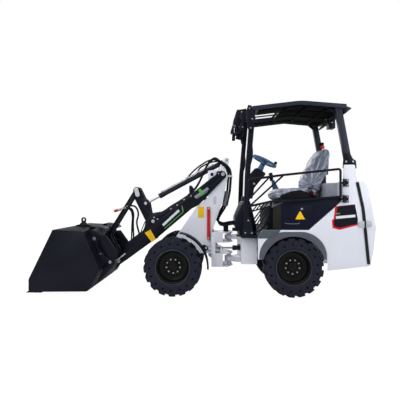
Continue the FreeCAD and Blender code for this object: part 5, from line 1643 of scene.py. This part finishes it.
for name, low, high, slot, finish, *edge in (
    ("belt_button", (-1.333, 0.2615, 1.24), (-1.305, 0.265, 1.262), "seat_fabric",
        GREY_PLASTIC, 0.001),
    ("belt_reel", (-1.7, -0.466, 1.905), (-1.655, -0.43, 1.95), "black_plastic",
        PLASTIC, 0.006, 3),
    ("belt_flap", (-1.712, -0.462, 1.862), (-1.65, -0.44, 1.902), "seat_fabric",
        RED, 0.004, 3),
):
    fit(name, [block(name, low, high)], "rear_frame", slot, finish, *edge)
print("seat done")

# %% [markdown]
# ## Roof and posts
#
# The roof is the CAD's with its rear corners cut back. A near-black lining with ribs closes it from
# below, darker than black plastic as painted shade under the roof. Head plates with bolts join the
# front posts to the roof, next to the lamp brackets.

# %% Roof, lining and ribs
for side_name in SIDES:
    dress("canopy_post_rear_" + side_name, "black_paint", CANOPY)
roof = copy_of(bpy.data.objects["roof"], "roof_shell")
carve(roof, [
    block("corner", (-1.9, low, 2.0), (-1.672, low + 0.2, 2.4)) for low in (0.47, -0.67)
])
hand_over(ease(roof, 0.002), "rear_frame", "black_paint", CANOPY, ["roof"])
UNDER = [(-0.655, 2.187), (-1.15, 2.244), (-1.632, 2.198)]
RIDGE_X = UNDER[1][0]


def under_z(x):
    """The height of the roof's underside."""
    (x0, z0), (x1, z1) = UNDER[:2] if x > RIDGE_X else UNDER[1:]
    return z0 + (z1 - z0) * (x - x0) / (x1 - x0)


def lining_strip(x_front, x_rear, y_low, y_high, drop=0.004):
    """A strip under the roof that bends where the roof does."""
    xs = [x_front, RIDGE_X, x_rear] if x_rear <= RIDGE_X <= x_front else [x_front, x_rear]
    top = [(x, under_z(x)) for x in xs]
    low = [(x, under_z(x) - drop) for x in reversed(xs)]
    return plate("lining", top + low, y_low, y_high)


lining = [
    lining_strip(-0.66, -1.63, 0.272, 0.535), lining_strip(-0.66, -1.63, -0.535, -0.272),
    lining_strip(-0.955, -1.63, -0.272, 0.272),
]
lining += [lining_strip(x, x - 0.03, -0.46, 0.46, 0.016) for x in (-0.96, -1.2, -1.44)]
lining += [lining_strip(-0.97, -1.6, y - 0.012, y + 0.012, 0.012) for y in (-0.3, 0.0, 0.3)]
fit("roof_lining", lining, "rear_frame", "black_plastic", LINING_SHADE, 0.001)

# %% Head plates, covers and marker lamps
HEAD = [
    (-0.532, 2.246), (-0.571, 2.238), (-0.619, 2.091), (-0.6, 2.013), (-0.571, 1.936),
    (-0.536, 1.944), (-0.507, 2.072), (-0.507, 2.17),
]
GUSSET = [(-1.48, 2.206), (-1.598, 2.196), (-1.606, 2.1), (-1.59, 2.11)]
WING = [
    (-0.434, 2.232), (-0.524, 2.246), (-0.545, 2.18), (-0.552, 2.04), (-0.5, 1.98),
    (-0.44, 1.996), (-0.452, 2.06), (-0.47, 2.09), (-0.44, 2.15), (-0.452, 2.19),
]
TIE = [(-0.5, 2.06), (-0.52, 2.06), (-0.52, 2.12), (-0.5, 2.12)]
COVER = [
    (-0.54, 1.852), (-0.566, 1.836), (-0.586, 1.79), (-0.594, 1.7), (-0.588, 1.62),
    (-0.572, 1.56), (-0.54, 1.524),
]
for side_name, side in SIDES.items():
    fit("head_plates_" + side_name, [
        on_face("head", HEAD, side * 0.528, side, 0.022),
        on_face("gusset", GUSSET, side * 0.49, side, 0.008),
        plate("wing", WING, side * 0.3625, side * 0.37),
        plate("tie", TIE, side * 0.37, side * 0.528),
    ], "rear_frame", "black_paint", BLACK, 0.0015)
    fit("post_cover_" + side_name, [plate("cover", COVER, side * 0.48, side * 0.52)],
        "rear_frame", "black_plastic", PLASTIC, 0.008, 3)
    y = side * LAMP_Y
    for name, low, high, finish, *edge in (
        ("marker_lamp_", (-0.43, y - 0.034, 1.962), (-0.386, y + 0.034, 2.034), PLASTIC, 0.006, 3),
        ("marker_glass_", (-0.387, y - 0.028, 1.97), (-0.383, y + 0.028, 2.026), AMBER, 0.0015),
    ):
        case = block("lamp", low, high)
        fit(name + side_name, [case], "rear_frame", "black_plastic", finish, *edge)
bolts_on_flanks(
    "head_bolts",
    (0.55, 0.007, (-0.548, 2.205), (-0.58, 2.08), (-0.56, 1.975)),
    (0.37, 0.0065, (-0.47, 2.205), (-0.525, 2.1), (-0.48, 2.02)),
)
print("roof done")

# %% [markdown]
# ## The rest of the CAD
#
# Nodes that no new piece stands for are dressed now, each in the finish of its slot.

# %% Every other CAD node with its finish
FINISH_OF = {
    "white_paint": WHITE, "black_paint": BLACK, "black_plastic": PLASTIC, "battery_case": BATTERY,
    "blue_plastic": BLUE, "seat_fabric": GREY, "red_paint": RED, "hose_rubber": HOSE,
    "tyre": RUBBER, "rim_paint": RIM_BLACK, "rod_chrome": CHROME, "grey_plastic": GREY_PLASTIC,
}
SLOT_OF = {sub["node"]: sub["material_slot"] for sub in frame["record"]["subparts"]}
for node in sorted(set(frame["nodes"]) - STOOD_FOR):
    slot = SLOT_OF[node]
    dressed = dress(node, slot, FINISH_OF[slot])
    print(node, len(dressed.data.polygons))

# %% [markdown]
# ## Studio
#
# A pale floor that runs to the horizon, one wide soft light overhead, one on the driver's left and
# weaker ones behind and on the far side. The world is white only for the camera and for transmitted
# rays, so the background is white while the object is lit gently.

# %% Floor, lights and camera


def shader_node(tree, kind, **values):
    made = tree.nodes.new("ShaderNode" + kind)
    for socket, value in values.items():
        made.inputs[socket].default_value = value
    return made


def wire(tree, *pairs):
    for output, socket in pairs:
        tree.links.new(output, socket)


bpy.ops.mesh.primitive_plane_add(size=60, location=(0, 0, 0))
floor = bpy.context.active_object
floor.name = "studio_floor"
ground = bpy.data.materials.new("studio floor")
ground.use_nodes = True
tree = ground.node_tree
surface = tree.nodes["Principled BSDF"]
surface.inputs["Base Color"].default_value = (0.9, 0.9, 0.9, 1)
surface.inputs["Roughness"].default_value = 0.9
surface.inputs["Specular IOR Level"].default_value = 0.1
glow = shader_node(tree, "Emission", Color=(1, 1, 1, 1), Strength=1.13)
paths = shader_node(tree, "LightPath")
portion = shader_node(tree, "Math")
portion.operation = "MULTIPLY"
portion.inputs[1].default_value = 0.86
blend = shader_node(tree, "MixShader")
wire(
    tree, (paths.outputs["Is Camera Ray"], portion.inputs[0]),
    (portion.outputs[0], blend.inputs[0]), (surface.outputs[0], blend.inputs[1]),
    (glow.outputs[0], blend.inputs[2]),
    (blend.outputs[0], tree.nodes["Material Output"].inputs["Surface"]),
)
floor.data.materials.append(ground)

world = bpy.data.worlds.new("studio world")
bpy.context.scene.world = world
world.use_nodes = True
tree = world.node_tree
soft = tree.nodes["Background"]
soft.inputs["Color"].default_value = (0.9, 0.94, 1.0, 1)
soft.inputs["Strength"].default_value = 0.42
white = shader_node(tree, "Background", Color=(1, 1, 1, 1), Strength=1.0)
paths = shader_node(tree, "LightPath")
seen = shader_node(tree, "Math")
seen.operation = "MAXIMUM"
either = shader_node(tree, "MixShader")
wire(
    tree, (paths.outputs["Is Camera Ray"], seen.inputs[0]),
    (paths.outputs["Is Transmission Ray"], seen.inputs[1]), (seen.outputs[0], either.inputs[0]),
    (soft.outputs[0], either.inputs[1]), (white.outputs[0], either.inputs[2]),
    (either.outputs[0], tree.nodes["World Output"].inputs["Surface"]),
)

LAMPS = [
    ("overhead", (0.2, 0.6, 5.0), (0.0, 0.0, 0.8), 5.0, 110),
    ("key", (2.2, 4.6, 3.2), (0.0, 0.0, 0.9), 3.0, 80),
    ("rear fill", (-3.6, 2.8, 2.4), (-0.8, 0.0, 0.9), 2.4, 45),
    ("far rim", (0.5, -4.5, 3.2), (0.0, 0.0, 0.9), 3.0, 60),
]
for lamp_name, place, aim, width, power in LAMPS:
    light = bpy.data.lights.new(lamp_name, "AREA")
    light.shape = "SQUARE"
    light.size = width
    light.energy = power
    lamp = bpy.data.objects.new(lamp_name, light)
    lamp.location = place
    lamp.rotation_euler = (Vector(aim) - Vector(place)).to_track_quat("-Z", "Y").to_euler()
    bpy.context.collection.objects.link(lamp)

camera_data = bpy.data.cameras.new("camera")
camera_data.lens = 33.4
camera_data.sensor_width = 36
camera = bpy.data.objects.new("camera", camera_data)
camera.location = (-0.12, 4.91, 1.131)
camera.rotation_euler = (math.radians(90), 0, math.radians(182))
bpy.context.collection.objects.link(camera)
bpy.context.scene.camera = camera
bpy.context.scene.view_settings.view_transform = "Standard"
print("camera at", tuple(camera.location))
